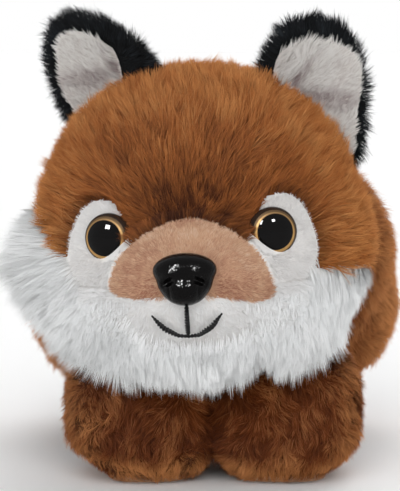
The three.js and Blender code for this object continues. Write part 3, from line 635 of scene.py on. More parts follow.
def chart(obj, tones):
    """The skin's own UV map: across it runs the tone and up it the place between root and tip."""
    index = loops_of(obj.data)
    turn_of = np.arange(len(index)) % 3
    uv = np.empty((len(index), 2), np.float32)
    uv[:, 0] = np.clip(tones[index], 0.02, 0.98) + (turn_of - 1) * FACE_CHART[0]
    uv[:, 1] = SKIN_HEIGHT + (turn_of == 1) * FACE_CHART[1]
    set_chart(obj.data, uv)


def chart_by(obj, across, up):
    """A UV map from a share across and a share up, one of each to a corner."""
    index = loops_of(obj.data)
    set_chart(obj.data, np.stack([np.clip(across[index], 0.01, 0.99), np.clip(up[index], 0.01, 0.99)], 1))


def dressed(skin, material, node):
    """Gives a piece, still selected, its material and smooth shading, and hides the CAD node that it stands
    for.
    """
    skin.data.materials.append(material)
    bpy.ops.object.shade_smooth()
    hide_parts(node)


def stuffed(skin, body):
    """Says that a skin rides on a body."""
    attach(skin, body)


def scattered(points, faces, normals, wanted, per_mm, seed):
    """Random roots on the wanted faces, with their normals."""
    rng = np.random.default_rng(seed)
    faces = faces[wanted]
    a, b, c = (points[faces[:, i]] for i in range(3))
    area = np.linalg.norm(np.cross(b - a, c - a), axis=1) / 2
    which = np.repeat(np.arange(len(faces)), rng.poisson(area * per_mm))
    u, v = rng.random((2, len(which), 1))
    flip = u + v > 1
    u, v = np.where(flip, 1 - u, u), np.where(flip, 1 - v, v)
    roots = a[which] * (1 - u - v) + b[which] * u + c[which] * v
    na, nb, nc = (normals[faces[:, i]][which] for i in range(3))
    return roots, unit(na * (1 - u - v) + nb * u + nc * v)


def ribbons(name, lines, side_ways, ups, widths, tones, roundness, facing):
    """Strands as tapering ribbons in one mesh. lines is strands x levels x 3, in millimetres."""
    count, levels, _ = lines.shape
    half = widths[:, None, None] / 2 * np.linspace(1, STRAND_TAPER, levels - 1)[None, :, None]
    left = lines[:, :-1] - side_ways[:, None] * half
    right = lines[:, :-1] + side_ways[:, None] * half
    body = np.stack([left, right], 2).reshape(count, -1, 3)
    points = np.concatenate([body, lines[:, -1:]], 1)
    points[:, :, 2] = np.maximum(points[:, :, 2], LEAST_HEIGHT)
    size = points.shape[1]
    loops, starts = [], []
    for level in range(levels - 2):
        starts.append(len(loops))
        loops += [2 * level, 2 * level + 1, 2 * level + 3, 2 * level + 2]
    starts.append(len(loops))
    loops += [size - 3, size - 2, size - 1]
    loops, starts = np.array(loops), np.array(starts)
    strand = np.arange(count)[:, None]
    mesh = bpy.data.meshes.new(name)
    mesh.vertices.add(count * size)
    mesh.vertices.foreach_set("co", (points * MM).astype(np.float32).ravel())
    mesh.loops.add(count * len(loops))
    mesh.loops.foreach_set("vertex_index", (strand * size + loops).astype(np.int32).ravel())
    mesh.polygons.add(count * len(starts))
    mesh.polygons.foreach_set("loop_start", (strand * len(loops) + starts).astype(np.int32).ravel())
    mesh.update(calc_edges=True)
    rise = np.repeat(np.arange(levels) / (levels - 1), 2)[:size]
    edge = np.where(np.arange(size) % 2 == 0, -STRAND_CHART, STRAND_CHART)
    edge[-1] = 0
    uv = np.empty((count, len(loops), 2), np.float32)
    uv[:, :, 0] = np.clip(tones, 0.03, 0.97)[:, None] + edge[loops]
    uv[:, :, 1] = 0.03 + 0.94 * rise[loops]
    set_chart(mesh, uv)
    ahead = unit(lines[:, -1] - lines[:, 0])
    flat = np.cross(side_ways, ahead)
    soft = unit((1 - facing) * ups + facing * flat)
    tilt = np.where(np.arange(size) % 2 == 0, -roundness, roundness)
    tilt[-1] = 0
    shading = unit(soft[:, None] + side_ways[:, None] * tilt[None, :, None])
    mesh.shade_smooth()
    mesh.normals_split_custom_set_from_vertices(shading.reshape(-1, 3).tolist())
    return linked(name, mesh)


def grown(roots, ups, ways, length, lean, levels, seed, tuft_sizes, pull, fray, outward):
    """The lines that strands follow: from the skin, bent over along their ways, gathered in tufts."""
    rng = np.random.default_rng(seed)
    count = len(roots)
    length = length * rng.uniform(*LENGTH_SPREAD, count)
    big = tufts(roots, tuft_sizes[0], seed + 1)
    small = tufts(roots, tuft_sizes[1], seed + 2)
    tuft_random = rng.normal(size=(big.max() + 1, 4))[big]
    lock_random = rng.normal(size=(small.max() + 1, 4))[small]
    stray = WAY_STRAY[0] * tuft_random[:, :3] + WAY_STRAY[1] * lock_random[:, :3]
    ways = ways + fray * (stray + WAY_STRAY[2] * rng.normal(size=(count, 3)))
    ways = unit(ways - ups * (ways * ups).sum(1, keepdims=True))
    length = length * (1 + LENGTH_STRAY[0] * tuft_random[:, 3] + LENGTH_STRAY[1] * lock_random[:, 3])
    lean = lean + LEAN_STRAY[0] * tuft_random[:, 0] + LEAN_STRAY[1] * lock_random[:, 1]
    lean = np.clip(lean + LEAN_STRAY[2] * rng.normal(size=count), STEEPEST_LEAN, FLATTEST_LEAN)
    lines = np.empty((count, levels, 3))
    lines[:, 0] = roots - ups * ROOT_DEPTH
    for level in range(1, levels):
        angle = np.minimum(lean * (0.62 + 0.62 * (level - 1) / max(levels - 2, 1)), LARGEST_ANGLE)[:, None]
        step = (length / (levels - 1))[:, None]
        lines[:, level] = lines[:, level - 1] + step * (ups * np.cos(angle) + ways * np.sin(angle))
    for level in range(1, levels):
        gather = pull * (level / (levels - 1)) ** 1.4
        lines[:, level] += gather * (mean_of(lines[:, level], small) - lines[:, level])
        lines[:, level] += 0.3 * gather * (mean_of(lines[:, level], big) - lines[:, level])
    ahead = unit(lines[:, -1] - lines[:, 0])
    side = unit(np.cross(ahead, outward))
    roll = rng.normal(0, 0.35, count)[:, None]
    side = side * np.cos(roll) + np.cross(ahead, side) * np.sin(roll)
    return lines, side, (tuft_random[:, 3], lock_random[:, 3], rng.normal(size=count))


def pile(name, skin, slot, place, roots, ups, ways, length, lean, tone, seed, breadth=1.0, levels=3,
         tuft_sizes=(7.0, 2.2), pull=0.45, fray=0.35, tone_play=(0.05, 0.05, 0.06), roundness=0.45,
         facing=0.45, outward=None):
    """One plush pile in its skin's material: its strands as ribbons, in as many meshes as it needs."""
    roots, ups, ways = moved(place, roots), turned(place, ups), turned(place, ways)
    outward = ups if outward is None else unit(outward)
    lines, side, play = grown(roots, ups, ways, length, lean, levels, seed, tuft_sizes, pull, fray, outward)
    tone = tone + sum(k * p for k, p in zip(tone_play, play))
    width = mm_of(sizes().strand_width) * breadth
    width = width * np.random.default_rng(seed + 9).uniform(0.7, 1.3, len(roots))
    middle = roots.mean(0)
    order = np.argsort(np.arctan2(roots[:, 0] - middle[0], middle[1] - roots[:, 1]))
    parts = max(1, math.ceil(len(roots) * (2 * levels - 3) / MOST_TRIANGLES))
    for number, chosen in enumerate(np.array_split(order, parts), 1):
        label = name if parts == 1 else f"{name}_{number}"
        obj = ribbons(label, lines[chosen], side[chosen], outward[chosen], width[chosen], tone[chosen],
                      roundness, facing)
        obj.data.materials.append(skin.data.materials[0])
        obj.parent = skin


def lathe(name, outline, place):
    """A turned piece about its own Z axis, from [radius, height] pairs in millimetres."""
    mesh = bpy.data.meshes.new(name)
    mesh.from_pydata([(r, 0, h) for r, h in outline], [(i, i + 1) for i in range(len(outline) - 1)], [])
    obj = linked(name, mesh)
    edit_all(obj)
    bpy.ops.mesh.spin(steps=LATHE_STEPS, angle=2 * math.pi, center=(0, 0, 0), axis=(0, 0, 1))
    bpy.ops.mesh.select_all(action="SELECT")
    bpy.ops.mesh.remove_doubles(threshold=0.0005)
    close_edit()
    local = corners(mesh)
    set_corners(mesh, moved(place, local))
    bpy.ops.object.shade_smooth_by_angle(angle=math.radians(35))
    return obj, local


# Materials


def linear(colour, strength=1.0):
    """A screen colour as the linear one that the nodes take."""
    parts = [c / 12.92 if c <= 0.04045 else ((c + 0.055) / 1.055) ** 2.4 for c in colour]
    return [*(part * strength for part in parts), 1.0]


def mixed(a, b, share):
    """One colour with a share of another."""
    return [x * (1 - share) + y * share for x, y in zip(a, b)]


def new_material(name):
    """A new material with its nodes, links and shader, or the one of that name alone."""
    old = bpy.data.materials.get(name)
    if old:
        return old, None, None, None
    material = bpy.data.materials.new(name)
    material.use_nodes = True
    nodes, links = material.node_tree.nodes, material.node_tree.links
    return material, nodes, links, nodes["Principled BSDF"]


def ramp(nodes, stops):
    """A colour ramp through the given stops."""
    node = nodes.new("ShaderNodeValToRGB")
    node.color_ramp.interpolation = "LINEAR"
    while len(node.color_ramp.elements) > 1:
        node.color_ramp.elements.remove(node.color_ramp.elements[0])
    node.color_ramp.elements[0].position, node.color_ramp.elements[0].color = stops[0]
    for place, colour in stops[1:]:
        node.color_ramp.elements.new(place).color = colour
    return node


def chart_axes(nodes, links):
    """The two values of the piece's own UV map."""
    uv = nodes.new("ShaderNodeUVMap")
    uv.uv_map = "OFBake"
    split = nodes.new("ShaderNodeSeparateXYZ")
    links.new(uv.outputs["UV"], split.inputs[0])
    return split


def plush(name, stops, root=0.42, sheen=0.03):
    """Plush that reads only its own UV map: tone across, root to tip upward."""
    material, nodes, links, shader = new_material(name)
    if nodes is None:
        return material
    split = chart_axes(nodes, links)
    tone = ramp(nodes, [(place, linear(colour)) for place, colour in stops])
    links.new(split.outputs["X"], tone.inputs["Fac"])
    depth = ramp(nodes, [(0.0, [root, root * 0.97, root * 0.94, 1]), (0.45, [(root + 1) / 2] * 3 + [1]),
                         (1.0, [1.0] * 4)])
    links.new(split.outputs["Y"], depth.inputs["Fac"])
    mix = nodes.new("ShaderNodeMix")
    mix.data_type, mix.blend_type = "RGBA", "MULTIPLY"
    mix.inputs["Factor"].default_value = 1.0
    links.new(tone.outputs["Color"], mix.inputs[6])
    links.new(depth.outputs["Color"], mix.inputs[7])
    links.new(mix.outputs[2], shader.inputs["Base Color"])
    shader.inputs["Roughness"].default_value = 0.8
    shader.inputs["Specular IOR Level"].default_value = 0.05
    shader.inputs["Sheen Weight"].default_value = sheen
    shader.inputs["Sheen Roughness"].default_value = 0.5
    return material


def gloss(name, stops, rough, shine, metal=0.0, axis="X", grain=None):
    """Plastic or metal paint: a ramp over its own UV map and a fine grain in its roughness and bump."""
    material, nodes, links, shader = new_material(name)
    if nodes is None:
        return material
    split = chart_axes(nodes, links)
    tone = ramp(nodes, stops)
    links.new(split.outputs[axis], tone.inputs["Fac"])
    links.new(tone.outputs["Color"], shader.inputs["Base Color"])
    place = nodes.new("ShaderNodeTexCoord")
    noise = nodes.new("ShaderNodeTexNoise")
    noise.inputs["Scale"].default_value = 900.0
    noise.inputs["Detail"].default_value = 3.0
    links.new(place.outputs["Object"], noise.inputs["Vector"])
    span = nodes.new("ShaderNodeMapRange")
    span.inputs["To Min"].default_value = rough * 0.7
    span.inputs["To Max"].default_value = rough * 1.5
    links.new(noise.outputs["Fac"], span.inputs["Value"])
    links.new(span.outputs["Result"], shader.inputs["Roughness"])
    shader.inputs["Metallic"].default_value = metal
    shader.inputs["Specular IOR Level"].default_value = shine
    if grain:
        strength, scale = grain
        cells = nodes.new("ShaderNodeTexVoronoi")
        cells.inputs["Scale"].default_value = scale
        links.new(place.outputs["Object"], cells.inputs["Vector"])
        bump = nodes.new("ShaderNodeBump")
        bump.inputs["Strength"].default_value = strength
        bump.inputs["Distance"].default_value = 0.0003
        links.new(cells.outputs["Distance"], bump.inputs["Height"])
        links.new(bump.outputs["Normal"], shader.inputs["Normal"])
    return material


def fibre(name, colour, dark, rough, scale=420.0, bump_strength=0.6, sheen=0.2):
    """Thread, stuffing or short cloth, from noise in the piece's own coordinates."""
    material, nodes, links, shader = new_material(name)
    if nodes is None:
        return material
    place = nodes.new("ShaderNodeTexCoord")
    noise = nodes.new("ShaderNodeTexNoise")
    noise.inputs["Scale"].default_value = scale
    noise.inputs["Detail"].default_value = 6.0
    noise.inputs["Distortion"].default_value = 1.2
    links.new(place.outputs["Object"], noise.inputs["Vector"])
    tone = ramp(nodes, [(0.3, linear(dark)), (0.7, linear(colour))])
    links.new(noise.outputs["Fac"], tone.inputs["Fac"])
    links.new(tone.outputs["Color"], shader.inputs["Base Color"])
    bump = nodes.new("ShaderNodeBump")
    bump.inputs["Strength"].default_value = bump_strength
    bump.inputs["Distance"].default_value = 0.0006
    links.new(noise.outputs["Fac"], bump.inputs["Height"])
    links.new(bump.outputs["Normal"], shader.inputs["Normal"])
    shader.inputs["Roughness"].default_value = rough
    shader.inputs["Specular IOR Level"].default_value = 0.15
    shader.inputs["Sheen Weight"].default_value = sheen
    return material


def crown_plush():
    """Combed brown plush of the crown."""
    c = colours()
    return plush("crown_fur", [(0.0, c.brown_dark), (0.45, c.brown), (1.0, c.brown_light)])


def body_plush():
    """Darker brown plush of the body, the legs and the tail."""
    c = colours()
    return plush("body_fur", [(0.0, c.body_dark), (0.45, c.body), (1.0, c.body_light)], root=0.5)


def white_plush():
    """Long white plush of the ruffs and the tail tip."""
    c = colours()
    return plush("ruff_fur", [(0.0, mixed(c.white, (0.72, 0.73, 0.73), 0.5)), (0.5, c.white),
                              (1.0, (1, 1, 1))], root=0.97)


def short_white_plush():
    """Short white plush of the face."""
    c = colours()
    return plush("patch_fur", [(0.0, mixed(c.short_white, (0.75, 0.73, 0.72), 0.5)), (0.5, c.short_white),
                               (1.0, (1, 0.995, 0.99))], root=0.92)


def tan_plush():
    """Tan velvet of the muzzle."""
    c = colours()
    return plush("muzzle_velvet", [(0.0, (0.66, 0.44, 0.36)), (0.45, c.tan),
                                   (1.0, mixed(c.tan, (1, 0.95, 0.88), 0.4))], root=0.75)


def black_plush():
    """Black plush of the ears."""
    c = colours()
    return plush("ear_fur", [(0.0, [x * 0.5 for x in c.black]), (0.6, c.black),
                             (1.0, [x * 2.4 for x in c.black])], root=0.5, sheen=0.05)


def lining_plush():
    """White plush in the ears."""
    c = colours()
    return plush("lining_fur", [(0.0, (0.62, 0.55, 0.55)), (0.5, c.lining),
                                (1.0, (0.97, 0.96, 0.95))], root=0.85)


def stuffing_wool():
    """Polyester stuffing."""
    c = colours()
    return fibre("stuffing_wool", c.stuffing, [x * 0.8 for x in c.stuffing], 0.9)


def eye_plastic():
    """Black plastic of the eyes, brown and thinner toward the rim."""
    black = linear(colours().eye)
    return gloss("eye_plastic", [(0.0, black), (0.72, black), (0.88, linear((0.16, 0.12, 0.10))),
                                 (1.0, linear((0.22, 0.17, 0.14)))], rough=0.04, shine=0.1)


def ring_paint():
    """Gold paint of the rings, duller toward their edges and darker high up with painted shade."""
    gold, dull_shaded_gold = colours().gold, colours().dull_shaded_gold
    return gloss("ring_paint", [(0.0, linear(gold)), (0.3, linear(gold)), (0.6, linear(dull_shaded_gold)),
                                (1.0, linear(dull_shaded_gold, 0.8))], rough=0.5, shine=0.1, metal=0.3, axis="Y")


def nose_plastic():
    """Black plastic of the nose, with a moulded grain."""
    black = linear(colours().eye)
    return gloss("nose_plastic", [(0.0, black), (1.0, black)], rough=0.09, shine=0.07, grain=(0.3, 1300.0))


def black_cotton():
    """Embroidery thread."""
    return fibre("black_cotton", (0.06, 0.055, 0.06), (0.01, 0.01, 0.01), 0.6, 1500.0, sheen=0.0)


def sole_velvet():
    """Tan velvet under the feet."""
    tan = colours().tan
    return fibre("sole_velvet", tan, [x * 0.8 for x in tan], 0.85, 900.0)


def clear_washer():
    """Milky plastic of the press-on washers."""
    white = (0.88, 0.88, 0.86)
    return fibre("clear_washer", white, [x * 0.93 for x in white], 0.4, 260.0, 0.1)


def pale_floor():
    """Matt white floor with a faint unevenness."""
    material, nodes, links, shader = new_material("pale_floor")
    noise = nodes.new("ShaderNodeTexNoise")
    noise.inputs["Scale"].default_value = 3.0
    place = nodes.new("ShaderNodeTexCoord")
    links.new(place.outputs["Object"], noise.inputs["Vector"])
    tone = ramp(nodes, [(0.0, (0.96, 0.96, 0.96, 1)), (1.0, (0.98, 0.98, 0.98, 1))])
    links.new(noise.outputs["Fac"], tone.inputs["Fac"])
    links.new(tone.outputs["Color"], shader.inputs["Base Color"])
    shader.inputs["Roughness"].default_value = 0.9
    shader.inputs["Specular IOR Level"].default_value = 0.1
    return material


# The head

# How deep each panel's skin lies under the CAD part's surface, so that its pile ends near it.
INSET = {CROWN: 4.4, MUZZLE: 1.3, PATCH_LEFT: 1.9, PATCH_RIGHT: 1.9, CHIN: 2.6, RUFF_LEFT: 6.5,
         RUFF_RIGHT: 6.5}
HEAD_PANELS = {
    CROWN: ("crown_skin", "head_crown", "brown_plush"),
    RUFF_LEFT: ("ruff_skin_left", "cheek_ruff_left", "long_white_plush"),
    RUFF_RIGHT: ("ruff_skin_right", "cheek_ruff_right", "long_white_plush"),
    CHIN: ("chin_skin", "chin_panel", "short_white_plush"),
    PATCH_LEFT: ("eye_patch_skin_left", "eye_patch_left", "short_white_plush"),
    PATCH_RIGHT: ("eye_patch_skin_right", "eye_patch_right", "short_white_plush"),
    MUZZLE: ("muzzle_skin", "muzzle_top", "tan_plush"),
}
RUFFS = (RUFF_LEFT, RUFF_RIGHT)
SIDES = ((1, "left"), (-1, "right"))

# The place in the head that the crown's strands grow away from, and the middle and spread of the painted
# shade at the brow, where the clumps part.
CROWN_HEART = (0, -66, -8)
BROW_SHADE_MIDDLE, BROW_SHADE_SPREAD = (0, 3), (15, 9)

# The box round an ear's root, in the ear's frame, that stays free of the crown's pile.
EAR_ROOT = ((-22, -6.5, -12), (22, 3.5, 12))

# The gaps that the head's pile keeps from the nose and the eyes.
NOSE_GAP = 0.2
EYE_OVERLAP = 0.6
EYE_BEHIND = -12

# How deep a place is in a neighbour before it counts as buried.
HEAD_BURIED = 8
SKIN_BURIED = 7
PILE_BURIED = 5
LEG_PILE_BURIED = 5.5
HEAD_NECK_SLACK = 6
BODY_NECK_SLACK = 8


def edge_of_chin(points):
    """About one on the chin panel's edge, and less inside it."""
    across, up = ((points[:, axis] - BEARD_MIDDLE[i]) / BEARD_HALF[i] for i, axis in enumerate((0, 2)))
    return np.hypot(across, up)


def past_face(points):
    """From none at the edges of the chin and the eye patches to one where the ruff is at its longest."""
    across = (np.abs(points[:, 0]) - PATCH_MIDDLE[0]) / PATCH_HALF[0]
    patch = np.hypot(across, (points[:, 2] - PATCH_MIDDLE[1]) / PATCH_HALF[1])
    return step_up(edge_of_chin(points), 0.8, 1.6) * step_up(patch, 0.95, 1.7)


def head_shape(obj):
    """The head's skin under its pile: local and placed points, faces, and each corner's panel."""
    ways = unit(corners(obj.data))
    faces = faces_of(obj.data)
    surface = ways * reach(HEAD, ways)[:, None]
    region = region_of(surface)
    inset = np.array([INSET[r] for r in range(len(INSET))])[region]
    ruff_inset = INSET[CHIN] + (INSET[RUFF_LEFT] - INSET[CHIN]) * past_face(surface)
    inset = evened(np.where(np.isin(region, RUFFS), ruff_inset, inset), faces, 3)
    local = ways * (reach(HEAD, ways) - inset)[:, None]
    return local, moved(HEAD_PLACE, local), faces, region


def head_shown(placed):
    """Which points of the head aren't buried in the body."""
    toy = placed - (0, TOY_BACK, 0)
    return ~((toy[:, 1] > NECK_LINE + HEAD_NECK_SLACK) & (beyond(BODY, toy) < -HEAD_BURIED))


def clear_of_face(local):
    """Which points, in the head's frame, are clear of the eyes and the nose."""
    placed = moved(HEAD_PLACE, local)
    free = beyond(NOSE, moved(NOSE_PLACE.inverted(), placed)) > NOSE_GAP
    for side, _ in SIDES:
        seen = moved(eye_place(side).inverted(), placed)
        free &= (np.hypot(seen[:, 0], seen[:, 1]) > EYE_RADIUS - EYE_OVERLAP) | (seen[:, 2] < EYE_BEHIND)
    return free


def clear_of_ears(placed):
    """Which points are clear of the ears' roots."""
    free = np.ones(len(placed), bool)
    for ear in EARS.values():
        seen = moved(ear_place(ear).inverted(), placed)
        free &= ~((seen > EAR_ROOT[0]) & (seen < EAR_ROOT[1])).all(1)
    return free


class HeadCover:
    """Where the head's skin is, worked out once and shared by its panels."""
    data = None

    @classmethod
    def get(cls):
        if cls.data is None:
            obj = ball("measure", HEAD_LEVEL)
            cls.data = head_shape(obj)
            bpy.data.objects.remove(obj)
        return cls.data


def head_panel(region, material):
    """One panel of the head's skin."""
    name, node, slot = HEAD_PANELS[region]
    local, placed, faces, _ = HeadCover.get()
    obj = ball(name, HEAD_LEVEL)
    set_corners(obj.data, placed)
    chart(obj, 0.35 + 0.1 * ripple(local, 18, 3))
    middle = local[faces].mean(1)
    way = middle / np.linalg.norm(middle, axis=1, keepdims=True)
    mine = region_of(way * reach(HEAD, unit(middle))[:, None]) == region
    shown = head_shown(placed[faces].mean(1))
    keep_faces(obj, mine & shown)
    picked(obj)
    dressed(obj, material, node)
    return obj


def head_roots(region, per_mm, seed, drawn_in=0.0):
    """The roots of one panel's pile, in the head's frame, drawn in from its edge, and their normals."""
    local, _, faces, regions = HeadCover.get()
    near = (regions[faces] == region).any(1)
    if region in RUFFS:
        near |= np.isin(regions[faces], (CHIN, PATCH_LEFT, PATCH_RIGHT)).any(1)
    roots, ups = scattered(local, faces, normals_of(local, faces), near, per_mm, seed)
    surface = unit(roots) * reach(HEAD, unit(roots))[:, None]
    spot = moved(HEAD_PLACE, roots)
    found = region_of(surface)
    if region in RUFFS:
        ragged = 0.4 * np.random.default_rng(seed).random(len(roots))
        lowered = surface + (0, 0, -6.0) * (ragged * 2.5)[:, None]
        beard = (found == CHIN) & (edge_of_chin(surface) > 0.5 + ragged) & (surface[:, 2] < -27)
        beard |= (region_of(lowered) == region) & (surface[:, 2] < -14)
        found[beard & ((surface[:, 0] > 0) == (region == RUFF_LEFT)) & (found != MUZZLE)] = region
    good = (found == region) & head_shown(spot) & clear_of_face(surface) & clear_of_ears(spot)
    if drawn_in:
        for dx, dz in ((1, 0), (-1, 0), (0, 1), (0, -1)):
            good &= region_of(surface + np.array([dx, 0, dz]) * drawn_in) == region
    return roots[good], ups[good]


def tangent(ways, ups):
    """Ways laid down onto the skin."""
    return unit(ways - ups * (ways * ups).sum(1, keepdims=True))


def toward(aims, ups, give, most):
    """The ways and leans of strands that grow toward their aims as far as the pile gives."""
    angle = np.arccos(np.clip((unit(aims) * ups).sum(1), -1, 1))
    return tangent(aims, ups), np.minimum(angle * give, most)


class FOX_OT_crown(bpy.types.Operator):
    """Cover the top, sides and back of the head in combed brown plush"""
    bl_idname = "fox.crown"
    bl_label = "Crown"

    def execute(self, context):
        skin = head_panel(CROWN, crown_plush())
        roots, ups = head_roots(CROWN, DENSITY["crown"], 11)
        x, y, z = roots.T
        front = y < 0
        ways = roots - np.array(CROWN_HEART)
        ways[:, 2] += 14 * step_up(z, -20, 10) * front
        ways += step_up(y, 0, 40)[:, None] * np.array([0, 10, -60])
        ways = tangent(unit(ways) + 0.20 * waves(roots, 26, 5) + 0.08 * waves(roots, 9, 6), ups)
        near_face = step_up(np.linalg.norm(roots - np.array(CROWN_HEART), axis=1), 12, 48)
        length = mm_of(sizes().crown_pile) * (0.62 + 0.38 * near_face)
        # Painted shade: the tone darkens at the brow and stands for the shade in the gaps where the clumps
        # part.
        swirl_shade = spot_at(x, z, BROW_SHADE_MIDDLE, BROW_SHADE_SPREAD) * front
        # The tone rises toward the top and the sides: partly the fur's lighter tips, partly painted light
        # from above and at the edges.
        tone = 0.35 + 0.24 * step_up(z, 8, 54) + 0.24 * step_up(np.abs(x), 25, 60)
        tone -= swirl_shade * (0.36 + 0.16 * ripple(roots, 5, 2))
        tone += 0.05 * ripple(roots, 22, 7) + 0.04 * ripple(roots * (0.6, 1, 2.2), 9, 4)
        pile("crown_pile", skin, "brown_plush", HEAD_PLACE, roots, ups, ways, length, 0.94, tone, 101,
             **GROWTH["crown"])
        stuffed(skin, "toy")
        return {"FINISHED"}


class FOX_OT_ruffs(bpy.types.Operator):
    """Cover the cheeks and the throat in long white plush"""
    bl_idname = "fox.ruffs"
    bl_label = "Ruffs"

    def execute(self, context):
        for region, (side, name) in zip(RUFFS, SIDES):
            skin = head_panel(region, white_plush())
            roots, ups = head_roots(region, DENSITY["ruff"], 21 + region)
            x, y, z = roots.T
            outer = step_up(np.abs(x), 22, 56)[:, None]
            under = np.stack([0.002 * x, np.full(len(x), -0.38), np.full(len(x), -0.92)], 1)
            if side > 0:
                beside = np.tile([0.10, -0.25, -0.96], (len(x), 1))
            else:
                drop = -0.75 + 0.8 * step_up(z, -34, -4)
                beside = np.stack([np.full(len(x), -0.9), np.full(len(x), -0.1), drop], 1)
            aims = unit(under * (1 - outer) + beside * outer)
            aims = aims + 0.14 * waves(roots, 26, 8) + 0.06 * waves(roots, 9, 9)
            ways, lean = toward(aims, ups, 0.92, 1.3)
            length = mm_of(sizes().ruff_pile) * (0.24 + 0.76 * past_face(roots / 0.95))
            length *= 1 + 0.34 * step_up(-z, 34, 50) * step_up(-y, -10, 30)
            length *= 1 - 0.3 * np.exp(-((x - 21) / 4.5) ** 2) * step_up(-z, 36, 46)
            if side > 0:
                length *= 1 - 0.4 * step_up(x, 44, 58) * step_up(z, -50, -34)
            else:
                length *= 1 - 0.5 * step_up(z, -16, 6)
            # Painted shade: the tone darkens under the chin toward the toy's right.
            tone = 0.5 + 0.07 * ripple(roots, 20, 10) - 0.2 * step_up(-z, 26, 44) * step_up(-x, 6, 34)
            forward = 2.2 * step_up(-z, 22, 42)[:, None] * np.array([0, -0.95, 0.3])
            pile(f"ruff_pile_{name}", skin, "long_white_plush", HEAD_PLACE, roots, ups, ways, length, lean,
                 tone, 200 + region, outward=turned(HEAD_PLACE, ups) + forward, **GROWTH["ruff"])
            stuffed(skin, "toy")
        return {"FINISHED"}


class FOX_OT_chin(bpy.types.Operator):
    """Cover the chin in short white plush"""
    bl_idname = "fox.chin"
    bl_label = "Chin"

    def execute(self, context):
        skin = head_panel(CHIN, short_white_plush())
        roots, ups = head_roots(CHIN, DENSITY["chin"], 31)
        ways = roots - np.array([0, -60, -22])
        ways[:, 2] -= 6
        ways = tangent(unit(ways) + 0.2 * waves(roots, 18, 12) + 0.15 * waves(roots, 6, 13), ups)
        outer = step_up(np.hypot(roots[:, 0] / 43, (roots[:, 2] + 30) / 22), 0.3, 1.1)
        length = mm_of(sizes().patch_pile) * (0.8 + 0.9 * outer)
        pile("chin_pile", skin, "short_white_plush", HEAD_PLACE, roots, ups, ways, length, 1.05,
             0.36 + 0.07 * ripple(roots, 14, 14), 301, **GROWTH["chin"])
        stuffed(skin, "toy")
        return {"FINISHED"}


class FOX_OT_eye_patches(bpy.types.Operator):
    """Cover the patches round the eyes in short white plush"""
    bl_idname = "fox.eye_patches"
    bl_label = "Eye patches"

    def execute(self, context):
        for region, (side, name) in zip((PATCH_LEFT, PATCH_RIGHT), SIDES):
            skin = head_panel(region, short_white_plush())
            roots, ups = head_roots(region, DENSITY["eye_patch"], 41 + region, drawn_in=1.3)
            ways = roots - np.array([side * EYE_SPREAD, -60, -EYE_DROP - 4])
            ways = tangent(unit(ways) + 0.15 * waves(roots, 8, 15), ups)
            # Painted shade: the toy's left patch has a darker tone than its right.
            tone = (0.1 if side > 0 else 0.2) + 0.05 * ripple(roots, 9, 16)
            pile(f"eye_patch_pile_{name}", skin, "short_white_plush", HEAD_PLACE, roots, ups, ways,
                 mm_of(sizes().patch_pile) * 0.75, 0.95, tone, 401 + region, **GROWTH["eye_patch"])
            stuffed(skin, "toy")
        return {"FINISHED"}


class FOX_OT_muzzle(bpy.types.Operator):
    """Cover the bridge of the muzzle in tan velvet"""
    bl_idname = "fox.muzzle"
    bl_label = "Muzzle"

    def execute(self, context):
        skin = head_panel(MUZZLE, tan_plush())
        roots, ups = head_roots(MUZZLE, DENSITY["muzzle"], 51)
        ways = roots - np.array([0, -80, -20])
        ways = tangent(unit(ways) + 0.2 * waves(roots, 9, 17), ups)
        x, _, z = roots.T
        # Painted shade: the tone darkens beside the nose, in a spot on the toy's right side and low on the
        # muzzle's sides.
        shade_beside_nose = spot_at(np.abs(x), z, (12, -22), (6, 8))
        shade_spot = spot_at(x, z, (-22, -8), (5, 4))
        sides = step_up(-z, 14, 24) * step_up(np.abs(x), 6, 14)
        tone = 0.52 + 0.09 * ripple(roots, 12, 18) - 0.36 * shade_beside_nose - 0.22 * shade_spot - 0.22 * sides
        length = mm_of(sizes().muzzle_pile) * (1 + 0.5 * step_up(-z, 20, 28))
        pile("muzzle_pile", skin, "tan_plush", HEAD_PLACE, roots, ups, ways, length, 0.9, tone, 501,
             **GROWTH["muzzle"])
        stuffed(skin, "toy")
        return {"FINISHED"}


class FOX_OT_fillings(bpy.types.Operator):
    """Fill the head and the body with stuffing"""
    bl_idname = "fox.fillings"
    bl_label = "Stuffing"

    def execute(self, context):
        for name, node, form, place in (("head_wool", "head_filling", HEAD, HEAD_PLACE),
                                        ("body_wool", "body_filling", BODY, TOY)):
            wool, ways, _ = skin_ball(name, PLAIN_LEVEL)
            points = ways * (reach(form, ways) - WOOL_INSET)[:, None] + np.array(form["origin"])
            set_corners(wool.data, moved(place, points))
            dressed(wool, stuffing_wool(), node)
            stuffed(wool, "toy")
        return {"FINISHED"}


# The ears


def leaf(ways, ear, half_width, half_thickness, bottom, top, sideways, proud):
    """An ear's leaf in its own frame: root along X, front toward -Y."""
    side = ear["side"]
    z = (top + bottom) / 2 + ways[:, 2] * (top - bottom) / 2
    height = np.exp(-((ways[:, 2] - 0.72) / 0.35) ** 2)
    shoulder = 1 + ear["shoulder"] * height * step_up(-side * ways[:, 0], 0, 0.5)
    x = side * sideways + ways[:, 0] * half_width * (1 - 0.04 * ways[:, 2]) * shoulder
    x = x + side * ear["flare"] * step_up(-z, -18, 0) * np.clip(side * ways[:, 0], 0, 1)
    share = np.clip(z / EAR_HEIGHT, 0, 1)
    y = ways[:, 1] * half_thickness - proud - 7 * share * (x / EAR_HALF_WIDTH) ** 2 - 4 * share ** 2
    return np.stack([x - side * ear["lean"] * np.maximum(z, 0), y, z], 1)


